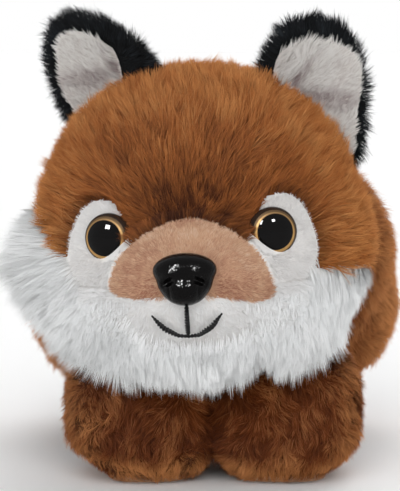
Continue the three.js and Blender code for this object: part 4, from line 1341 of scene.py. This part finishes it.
class FOX_OT_ears(bpy.types.Operator):
    """Make the black backs of the ears and their white linings"""
    bl_idname = "fox.ears"
    bl_label = "Ears"

    def execute(self, context):
        for number, (name, ear) in enumerate(EARS.items()):
            opening = smooth_outline(ear["mouth"], (ear["lining"], ear["lining_top"]), (0, 0))
            place = ear_place(ear)
            self.back(number, name, ear, place, opening)
            self.lining(number, name, ear, place, opening)
        return {"FINISHED"}

    @staticmethod
    def back(number, name, ear, place, opening):
        """The black leaf, with pile everywhere but in its opening."""
        side = ear["side"]
        skin, ways, faces = skin_ball(f"ear_skin_{name}", SKIN_LEVEL)
        points = leaf(ways, ear, EAR_HALF_WIDTH - EAR_INSET, 3.2, -30.5, EAR_HEIGHT - EAR_INSET, 0, 0)
        set_corners(skin.data, moved(place, points))
        chart(skin, np.full(len(points), 0.3))
        dressed(skin, black_plush(), f"ear_outer_{name}")
        x, _, z = points[faces].mean(1).T
        above = z > -8 - 6 * step_up(side * x, 8, 20)
        keep_faces(skin, above)
        roots, ups = scattered(points, faces, normals_of(points, faces), above, DENSITY["ear"], 61 + number)
        outer = step_up(side * roots[:, 0], 8, 20)
        inside = (ups[:, 1] <= -0.25) & within(roots[:, 0], roots[:, 2], opening)
        good = (roots[:, 2] > -4 - 8 * outer) & ~inside
        roots, ups = roots[good], ups[good]
        out = roots - np.array([0, 0, 6.0])
        out[:, 1] = np.where(ups[:, 1] > 0.3, 2, 0)
        ways = tangent(unit(out) + 0.25 * waves(roots, 12, 19), ups)
        rim = 1 - np.clip(np.abs(ups[:, 1]), 0, 1)
        length = mm_of(sizes().ear_pile) * (0.85 + 0.15 * rim)
        pile(f"ear_pile_{name}", skin, "black_plush", place, roots, ups, ways, length, 1.25 - 0.7 * rim,
             0.5 + 0.1 * ripple(roots, 9, 20), 601 + 10 * number, **GROWTH["ear"])
        stuffed(skin, f"ear_{name}")

    @staticmethod
    def lining(number, name, ear, place, opening):
        """The white cloth in the opening, shaded where it creases and folds over."""
        side, top, sideways = ear["side"], ear["lining_top"], 3.5
        skin, ways, faces = skin_ball(f"ear_lining_{name}", SKIN_LEVEL)
        bottom = top - (top - 4.2) / 0.75
        points = leaf(ways, ear, ear["lining"] + 3.0, 1.9, bottom - 12, top + 1.0, sideways, 2.6)
        set_corners(skin.data, moved(place, points))
        chart(skin, np.full(len(points), 0.35))
        dressed(skin, lining_plush(), f"ear_inner_{name}")
        x, _, z = points[faces].mean(1).T
        above = (z > -3 - 9 * step_up(side * x, 8, 18)) & within(x, z, opening)
        keep_faces(skin, above)
        normals = normals_of(points, faces)
        roots, ups = scattered(points, faces, normals, above, DENSITY["lining"], 81 + number)
        good = ups[:, 1] < 0.1
        roots, ups = roots[good], ups[good]
        x, _, z = roots.T
        middle = side * sideways
        out = np.stack([0.15 * (x - middle), np.zeros(len(x)), np.full(len(x), 14.0)], 1)
        ways = tangent(unit(out) + 0.25 * waves(roots, 10, 22), ups)
        inner = step_up(-side * (x - middle), 6, 15)
        length = mm_of(sizes().lining_pile) * (0.7 + 0.8 * inner)
        # Painted shade: a slanted band of shadow across the lining's lower middle and a dark line in the
        # fold.
        shade = spot_at(z - 10 - 0.45 * side * (x - middle), x, (0, middle), (4.5, 12))
        fold_shade = spot_at(x, z, (-side * 10.5, 9), (1.6, 7))
        pile(f"lining_pile_{name}", skin, "ear_lining", place, roots, ups, ways, length, 1.05,
             0.52 - 0.45 * shade - 0.4 * fold_shade, 701 + 10 * number, **GROWTH["lining"])
        stuffed(skin, f"ear_{name}")


# The body, the legs and the tail


class FOX_OT_body(bpy.types.Operator):
    """Cover the body in brown plush"""
    bl_idname = "fox.body"
    bl_label = "Body"

    def execute(self, context):
        skin, ways, faces = skin_ball("body_skin_cloth", SKIN_LEVEL)
        points = ways * (reach(BODY, ways) - BODY_INSET)[:, None] + np.array(BODY["origin"])
        set_corners(skin.data, moved(TOY, points))
        chart(skin, 0.3 + 0.1 * ripple(points, 20, 24))
        dressed(skin, body_plush(), "body_skin")
        shown = ~self.buried(points, SKIN_BURIED)[faces].all(1)
        keep_faces(skin, shown)
        roots, ups = scattered(points, faces, normals_of(points, faces), shown, DENSITY["body"], 25)
        good = ~self.buried(roots, PILE_BURIED)
        roots, ups = roots[good], ups[good]
        ways = np.array([0, 0.75, -0.6]) + 0.35 * waves(roots, 34, 26) + 0.22 * waves(roots, 12, 27)
        flank = step_up(np.abs(roots[:, 0]), 45, 72)
        behind = step_up(roots[:, 1], -25, 25)
        tone = 0.42 + 0.42 * flank * (1 - 0.5 * behind) + 0.22 * behind
        tone += 0.07 * ripple(roots, 18, 28)
        pile("body_pile", skin, "body_plush", TOY, roots, ups, tangent(ways, ups),
             mm_of(sizes().body_pile), 0.98, tone, 801, **GROWTH["body"])
        stuffed(skin, "toy")
        return {"FINISHED"}

    @staticmethod
    def buried(points, depth):
        """Which points of the body are deeper than that in the head or in a leg."""
        head = beyond(HEAD, moved((TOY.inverted() @ HEAD_PLACE).inverted(), points)) < -depth
        hidden = head & (points[:, 1] < NECK_LINE + BODY_NECK_SLACK)
        for centre, radii in LEGS.values():
            hidden |= beyond({"origin": centre, "radii": radii}, points) < -depth
        return hidden


class FOX_OT_legs(bpy.types.Operator):
    """Make the four stubby legs and their flat soles"""
    bl_idname = "fox.legs"
    bl_label = "Legs"

    def execute(self, context):
        for number, (name, (centre, radii)) in enumerate(LEGS.items()):
            end, side_name = name.split("_")
            side = math.copysign(1, centre[0])
            form = {"origin": centre, "radii": radii}
            skin, ways, faces = skin_ball(f"leg_skin_{name}", PLAIN_LEVEL)
            corner = step_up(ways[:, 0] * side, 0.2, 0.75) * step_up(-ways[:, 2], 0.25, 0.8)
            deep = reach(form, ways) - LEG_INSET - PAW_ROUNDING[side_name] * corner
            points = ways * deep[:, None] + np.array(centre)
            points[:, 0] = side * np.maximum(side * points[:, 0], LEG_GAP)
            points[:, 2] = np.maximum(points[:, 2], LEG_FLOOR)
            set_corners(skin.data, moved(TOY, points))
            chart(skin, 0.3 + 0.1 * ripple(points, 18, 29))
            dressed(skin, body_plush(), f"{end}_leg_{side_name}")
            shown = (beyond(BODY, points) > -SKIN_BURIED)[faces].any(1)
            keep_faces(skin, shown)
            roots, ups = scattered(points, faces, normals_of(points, faces), shown, DENSITY[end], 91 + number)
            good = (beyond(BODY, roots) > -LEG_PILE_BURIED) & (roots[:, 2] > LEG_FLOOR + 0.1)
            roots, ups = roots[good], ups[good]
            across = side * (roots[:, 0] - centre[0]) / radii[0]
            low = step_up(-roots[:, 2], -16, -5)
            inner = step_up(-across, 0.35, 0.9)
            # Painted shade: the tone darkens on each leg's inner face, in the crease between the legs.
            crease = step_up(-across, 0.6, 0.97)
            ways = np.array([0, -0.15, -0.6]) - inner[:, None] * np.array([side * 0.7, 0, 0])
            ways = tangent(ways + 0.42 * waves(roots, 26, 30 + number) + 0.35 * waves(roots, 8, 35), ups)
            tone = 0.41 + 0.38 * step_up(across, 0.4, 0.95) + 0.40 * low + 0.09 * ripple(roots, 13, 36)
            tone += (0.02 if side > 0 else 0.26 * low) - 0.5 * crease
            length = mm_of(sizes().leg_pile) * (1 - 0.3 * low + 0.1 * inner)
            pile(f"leg_pile_{name}", skin, "body_plush", TOY, roots, ups, ways, length, 0.95, tone,
                 901 + 10 * number, **GROWTH["leg"])
            stuffed(skin, "toy")
            self.sole(end, side_name, side, centre, radii)
        return {"FINISHED"}

    @staticmethod
    def sole(end, side_name, side, centre, radii):
        """A flat pad: a filled circle, thickened, then moved onto the leg's outline near the floor."""
        alone()
        bpy.ops.mesh.primitive_circle_add(vertices=96, radius=1, fill_type="NGON", location=(0, 0, 0))
        obj = named(f"sole_cloth_{end}_{side_name}")
        edit_all(obj)
        bpy.ops.mesh.extrude_region_move(TRANSFORM_OT_translate={"value": (0, 0, SOLE_THICKNESS)})
        close_edit()
        local = corners(obj.data)
        power = 2 / LEG_POWER
        share = (1 - ((centre[2] - 1) / radii[2]) ** LEG_POWER) ** (1 / LEG_POWER)
        rounded = np.sign(local) * np.abs(local) ** power
        x, y = (rounded[:, i] * (radii[i] * share - SOLE_INSET[i]) + centre[i] for i in range(2))
        x -= side * SOLE_DRAWN_IN[side_name] * step_up(side * (x - centre[0]), 0, 20)
        x = side * np.maximum(side * x, SOLE_GAP)
        set_corners(obj.data, moved(TOY, np.stack([x, y, local[:, 2]], 1)))
        obj.data.materials.append(sole_velvet())
        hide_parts(f"sole_{end}_{side_name}")
        stuffed(obj, "toy")


def tail_points(ways):
    """The tail's skin in its own frame, from directions on a ball."""
    share = np.arccos(np.clip(-ways[:, 2], -1, 1)) / math.pi
    around = np.arctan2(ways[:, 1], ways[:, 0])
    none = np.zeros(len(share))
    line = np.polyfit([0, 1 / 3, 2 / 3, 1], TAIL_SAG, 3)
    slope = np.polyval(np.polyder(line), share) / TAIL_LENGTH
    along = unit(np.stack([none, np.ones(len(share)), slope], 1))
    rise = np.stack([none, -along[:, 2], along[:, 1]], 1)
    radius = np.interp(share, *TAIL_RADII) * TAIL_RADIUS - np.interp(share, [0, 0.25], [0.5, 5.0])
    radius = radius * np.sqrt(np.clip(1 - (np.abs(ways[:, 2])) ** 12, 0, 1))
    centre = np.stack([none, (TAIL_LENGTH + TAIL_ROOT) * share - TAIL_ROOT, np.polyval(line, share)], 1)
    out = np.stack([np.cos(around), none, none], 1) - rise * np.sin(around)[:, None]
    return centre + out * radius[:, None]


class FOX_OT_tail(bpy.types.Operator):
    """Make the bushy tail and its white tip"""
    bl_idname = "fox.tail"
    bl_label = "Tail"

    def execute(self, context):
        place = shift(*TAIL_HINGE)
        tip_line = TAIL_LENGTH - TAIL_TIP_LENGTH
        for name, node, slot, material in (("tail", "tail", "body_plush", body_plush()),
                                           ("tail_tip", "tail_tip", "long_white_plush", white_plush())):
            skin, ways, faces = skin_ball(f"{name}_skin", SKIN_LEVEL)
            points = tail_points(ways)
            set_corners(skin.data, moved(place, points))
            chart(skin, np.full(len(points), 0.35))
            dressed(skin, material, node)
            wanted = (points[faces].mean(1)[:, 1] > tip_line) == (node == "tail_tip")
            keep_faces(skin, wanted)
            roots, ups = scattered(points, faces, normals_of(points, faces), wanted, DENSITY["tail"], 71)
            y = roots[:, 1]
            inward = roots - np.array([0, 0, 4.0])
            inward[:, 1] = 0
            end = step_up(y, 50, 78)[:, None]
            ways = np.array([0, 1.0, 0.06]) + 0.22 * waves(roots, 20, 37) - 0.8 * end * unit(inward)
            ways = tangent(ways, ups)
            length = mm_of(sizes().tail_pile) * np.interp(y, [-4, 10, 40, 80], [0.9, 0.95, 1, 1.0])
            lean = np.interp(y, [0, 15, 55, 72], [0.7, 1.0, 1.05, 1.3])
            lean = lean * (1 - 0.85 * step_up(ups[:, 1], 0.6, 1))
            pile(f"{name}_pile", skin, slot, place, roots, ups, ways, length, lean,
                 0.5 + 0.08 * ripple(roots, 14, 38), 1001, **GROWTH["tail"])
            stuffed(skin, "tail")
        return {"FINISHED"}


# The eyes, the nose and the stitches


def dome(radius, under=0.0):
    """The height of the eye's dome at a radius, or that much under it."""
    return EYE_DOME * math.sqrt(max(0, 1 - (radius / EYE_RADIUS) ** 2)) - under


class FOX_OT_eyes(bpy.types.Operator):
    """Set the two glossy eyes with their gold rings"""
    bl_idname = "fox.eyes"
    bl_label = "Eyes"

    def execute(self, context):
        for side, name in SIDES:
            self.eye(name, eye_place(side))
            self.ring(name, eye_place(side))
        return {"FINISHED"}

    @staticmethod
    def eye(name, place):
        """The shank, the rim and the dome, with a groove that holds the ring."""
        outline = [(0, -6), (2, -6), (2, EYE_RIM), (8.6, EYE_RIM), (EYE_RADIUS, -1.0), (EYE_RADIUS, -0.1)]
        outline += [(r, dome(r)) for r in np.linspace(8.97, 8.15, 8)]
        outline += [(8.05, dome(8.05, 0.25)), (6.55, dome(6.55, 0.25))]
        outline += [(r, dome(r)) for r in np.linspace(6.5, 0, 24)]
        eye, local = lathe(f"safety_eye_{name}", outline, place)
        chart_by(eye, np.hypot(local[:, 0], local[:, 1]) / EYE_RADIUS, 0.5 + local[:, 1] / 20)
        eye.data.materials.append(eye_plastic())
        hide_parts(f"eye_{name}")
        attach(eye, "toy")

    @staticmethod
    def ring(name, place):
        """The ring in the groove, brighter low down, as painted light through the dome, and toward its inner
        edge.
        """
        band = [(r, dome(r, 0.02)) for r in np.linspace(RING_OUTER, RING_INNER, 9)]
        under = [(RING_INNER, dome(RING_INNER, 0.22)), (RING_OUTER, dome(RING_OUTER, 0.22))]
        ring, local = lathe(f"gold_ring_{name}", [*under, *band, under[0]], place)
        height = moved(place, local)[:, 2]
        far = np.hypot(local[:, 0], local[:, 1])
        across = (far - RING_INNER) / 1.4
        # Painted light: gold low down and in a band near the inner edge, the dull colour high up and toward
        # both edges.
        up = 0.5 * (height - height.min()) / np.ptp(height) + 0.8 * np.abs(across - 0.3)
        chart_by(ring, far / EYE_RADIUS, up)
        ring.data.materials.append(ring_paint())
        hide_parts(f"eye_ring_{name}")
        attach(ring, "toy")


class FOX_OT_nose(bpy.types.Operator):
    """Set the moulded black nose"""
    bl_idname = "fox.nose"
    bl_label = "Nose"

    def execute(self, context):
        nose, ways, _ = skin_ball("moulded_nose", SKIN_LEVEL)
        local = ways * reach(NOSE, ways)[:, None]
        x, y, z = local.T
        front = y < 0
        for side, _ in SIDES:
            slant = z + 1.6 + 0.3 * side * (x - side * 5.6)
            hole = spot_at(x, slant, (side * 5.6, 0), (2.0, 1.25)) * front
            crease = np.exp(-((x - side * (5.4 + 0.08 * z)) / 0.5) ** 2) * step_up(-z, 1.5, 4) * front
            wing = spot_at(x, z, (side * 5.0, 0.9), (2.6, 1.7)) * front
            local += (2.4 * hole + 0.35 * crease - 0.8 * wing)[:, None] * np.array([0, 1, 0])
        local[:, 1] = np.minimum(local[:, 1], NOSE_BACK)
        set_corners(nose.data, moved(NOSE_PLACE, local))
        chart_by(nose, 0.5 + local[:, 0] / 26, 0.5 + local[:, 2] / 22)
        dressed(nose, nose_plastic(), "nose")
        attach(nose, "toy")
        return {"FINISHED"}


def thread_line(places, radii):
    """The thread's middle line on the chin, evened out, and its radius all along."""
    points = []
    for (ax, az), (bx, bz) in zip(places, places[1:]):
        for share in np.linspace(0, 1, 24, endpoint=False):
            points.append((ax + (bx - ax) * share, az + (bz - az) * share))
    points.append(places[-1])
    flat = np.array(points)
    for _ in range(12):
        flat[1:-1] = (flat[:-2] + 2 * flat[1:-1] + flat[2:]) / 4
    radius = np.interp(np.linspace(0, 1, len(flat)), np.linspace(0, 1, len(radii)), radii)
    line = [[x, front_of(HEAD, x, z, THREAD_DEPTH) - r * 1.15, z] for (x, z), r in zip(flat, radius)]
    return np.array(line), radius


def thread(name, places, radii):
    """A two-ply twisted thread laid along the chin, tapering with the radii."""
    line, radius = thread_line(places, radii)
    ahead = unit(np.gradient(line, axis=0))
    out = unit(np.cross(ahead, np.cross(np.array([[0.0, -1.0, 0.0]]), ahead)))
    across = np.cross(ahead, out)
    run = np.concatenate([[0], np.cumsum(np.linalg.norm(np.diff(line, axis=0), axis=1))])
    verts, faces = [], []
    for ply in (0, 1):
        spin = run / THREAD_TWIST * 2 * math.pi + ply * math.pi
        aside = out * np.cos(spin)[:, None] + across * np.sin(spin)[:, None]
        core = line + aside * (radius * 0.46)[:, None]
        base = len(verts)
        last = base + (len(line) - 1) * THREAD_SIDES
        for i in range(len(line)):
            for k in range(THREAD_SIDES):
                angle = 2 * math.pi * k / THREAD_SIDES
                aside = out[i] * math.cos(angle) + across[i] * math.sin(angle)
                verts.append(core[i] + aside * radius[i] * 0.6)
        for start in range(base, last, THREAD_SIDES):
            for k in range(THREAD_SIDES):
                a, b = start + k, start + (k + 1) % THREAD_SIDES
                faces.append((a, b, b + THREAD_SIDES, a + THREAD_SIDES))
        faces.append(tuple(base + k for k in reversed(range(THREAD_SIDES))))
        faces.append(tuple(last + k for k in range(THREAD_SIDES)))
    mesh = bpy.data.meshes.new(name)
    mesh.from_pydata((moved(HEAD_PLACE, np.array(verts)) * MM).tolist(), [], faces)
    obj = linked(name, mesh)
    edit_all(obj)
    close_edit()
    bpy.ops.object.shade_smooth_by_angle(angle=math.radians(50))
    return obj


class FOX_OT_mouth(bpy.types.Operator):
    """Sew the mouth in black thread"""
    bl_idname = "fox.mouth"
    bl_label = "Mouth"

    def execute(self, context):
        smile = [(a * SMILE_HALF + SMILE_LOW[0], b * SMILE_RISE + SMILE_LOW[1]) for a, b in SMILE_SHARES]
        for name, node, places, radii in (("smile_thread", "mouth_smile", smile, SMILE_RADII),
                                          ("line_thread", "mouth_line", LINE_PLACES, LINE_RADII)):
            obj = thread(name, places, radii)
            obj.data.materials.append(black_cotton())
            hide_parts(node)
            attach(obj, "toy")
        return {"FINISHED"}


class FOX_OT_hardware(bpy.types.Operator):
    """Finish the press-on washers that the CAD part carries"""
    bl_idname = "fox.hardware"
    bl_label = "Washers"

    def execute(self, context):
        for name in ("eye_washer_left", "eye_washer_right", "nose_washer"):
            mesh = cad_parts[name].data
            mesh.materials.clear()
            mesh.materials.append(clear_washer())
        return {"FINISHED"}


# The stage


def any_of(nodes, links, path):
    """One where a ray comes from the camera, a gloss or a clear piece."""
    last = path.outputs["Is Camera Ray"]
    for name in ("Is Glossy Ray", "Is Transmission Ray"):
        both = nodes.new("ShaderNodeMath")
        both.operation = "MAXIMUM"
        links.new(last, both.inputs[0])
        links.new(path.outputs[name], both.inputs[1])
        last = both.outputs[0]
    return last


class FOX_OT_stage(bpy.types.Operator):
    """Set the pale floor, the soft studio light and the camera"""
    bl_idname = "fox.stage"
    bl_label = "Stage"

    def execute(self, context):
        alone()
        bpy.ops.mesh.primitive_plane_add(size=2 * sizes().floor_half, location=(0, 0, 0))
        floor = named("floor")
        floor.data.materials.append(pale_floor())
        self.world()
        target = Vector(CAMERA_TARGET) * MM
        self.sun("key_sun", (-0.05, -0.9, 0.5), 1.3, 50)
        self.sun("top_sun", (0.25, 0.6, 0.85), 1.35, 60)
        self.window("window_left", (-0.55, -0.95, 0.75), target, 0.30, 55)
        self.window("window_right", (0.35, -1.0, 0.8), target, 0.18, 22)
        self.camera(target)
        return {"FINISHED"}

    @staticmethod
    def camera(target):
        """The camera that took the photo, as near as the picture tells."""
        elevation = math.radians(CAMERA_RISE)
        back = Vector((0, -math.cos(elevation), math.sin(elevation)))
        bpy.ops.object.camera_add(location=target + back * CAMERA_DISTANCE)
        camera = bpy.context.object
        camera.name = "camera"
        camera.rotation_euler = (-back).to_track_quat("-Z", "Y").to_euler()
        camera.data.sensor_fit = "HORIZONTAL"
        camera.data.sensor_width = SENSOR_WIDTH
        camera.data.lens = FOCAL_PX * SENSOR_WIDTH / PHOTO_WIDTH_PX
        camera.data.shift_x = OFF_MIDDLE_PX[0] / PHOTO_WIDTH_PX
        camera.data.shift_y = OFF_MIDDLE_PX[1] / PHOTO_WIDTH_PX
        camera.data.clip_start = 0.05
        camera.data.clip_end = 50
        bpy.context.scene.camera = camera
        bpy.context.scene.view_settings.view_transform = "Standard"

    @staticmethod
    def sun(name, place, strength, spread):
        """A broad soft light from far away that glossy pieces don't mirror."""
        bpy.ops.object.light_add(type="SUN", location=place)
        light = bpy.context.object
        light.name = name
        light.rotation_euler = Vector(place).to_track_quat("Z", "Y").to_euler()
        light.data.energy = strength
        light.data.angle = math.radians(spread)
        light.visible_glossy = False

    @staticmethod
    def window(name, place, target, size, power):
        """A square softbox that only shows as the highlight on the eyes and the nose."""
        bpy.ops.object.light_add(type="AREA", location=place)
        light = bpy.context.object
        light.name = name
        light.rotation_euler = (Vector(place) - target).to_track_quat("Z", "Y").to_euler()
        light.data.shape = "SQUARE"
        light.data.size = size
        light.data.energy = power
        light.visible_diffuse = False
        light.visible_camera = False

    @staticmethod
    def world():
        """White where it is seen or mirrored, and half as bright on what it lights."""
        world = bpy.data.worlds.new("white_room")
        bpy.context.scene.world = world
        world.use_nodes = True
        nodes, links = world.node_tree.nodes, world.node_tree.links
        nodes.clear()
        seen, lit = nodes.new("ShaderNodeBackground"), nodes.new("ShaderNodeBackground")
        seen.inputs["Color"].default_value = (1, 1, 1, 1)
        seen.inputs["Strength"].default_value = 1.0
        lit.inputs["Color"].default_value = (1, 1, 1, 1)
        lit.inputs["Strength"].default_value = 0.5
        path = nodes.new("ShaderNodeLightPath")
        mix = nodes.new("ShaderNodeMixShader")
        out = nodes.new("ShaderNodeOutputWorld")
        links.new(any_of(nodes, links, path), mix.inputs[0])
        links.new(lit.outputs[0], mix.inputs[1])
        links.new(seen.outputs[0], mix.inputs[2])
        links.new(mix.outputs[0], out.inputs["Surface"])


class FOX_PT_panel(bpy.types.Panel):
    """The steps that build the fox, in order"""
    bl_idname = "FOX_PT_panel"
    bl_label = "Plush fox"
    bl_space_type = "VIEW_3D"
    bl_region_type = "UI"
    bl_category = "Fox"

    def draw(self, context):
        layout = self.layout
        for operator in OPERATORS:
            layout.operator(operator.bl_idname)
        for group in (context.scene.fox_sizes, context.scene.fox_colours):
            for name in group.__annotations__:
                layout.prop(group, name)


OPERATORS = (FOX_OT_fillings, FOX_OT_crown, FOX_OT_ruffs, FOX_OT_chin, FOX_OT_eye_patches, FOX_OT_muzzle,
             FOX_OT_body, FOX_OT_legs, FOX_OT_tail, FOX_OT_ears, FOX_OT_eyes, FOX_OT_nose, FOX_OT_mouth,
             FOX_OT_hardware, FOX_OT_stage)
CLASSES = (FoxSizes, FoxColours, *OPERATORS, FOX_PT_panel)


def register():
    for item in CLASSES:
        bpy.utils.register_class(item)
    bpy.types.Scene.fox_sizes = PointerProperty(type=FoxSizes)
    bpy.types.Scene.fox_colours = PointerProperty(type=FoxColours)


def unregister():
    del bpy.types.Scene.fox_colours
    del bpy.types.Scene.fox_sizes
    for item in reversed(CLASSES):
        bpy.utils.unregister_class(item)


def main():
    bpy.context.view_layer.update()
    register()
    for operator in OPERATORS:
        group, name = operator.bl_idname.split(".")
        if getattr(getattr(bpy.ops, group), name)() != {"FINISHED"}:
            raise RuntimeError(f"{operator.bl_idname} didn't finish")


if __name__ == "__main__":
    main()
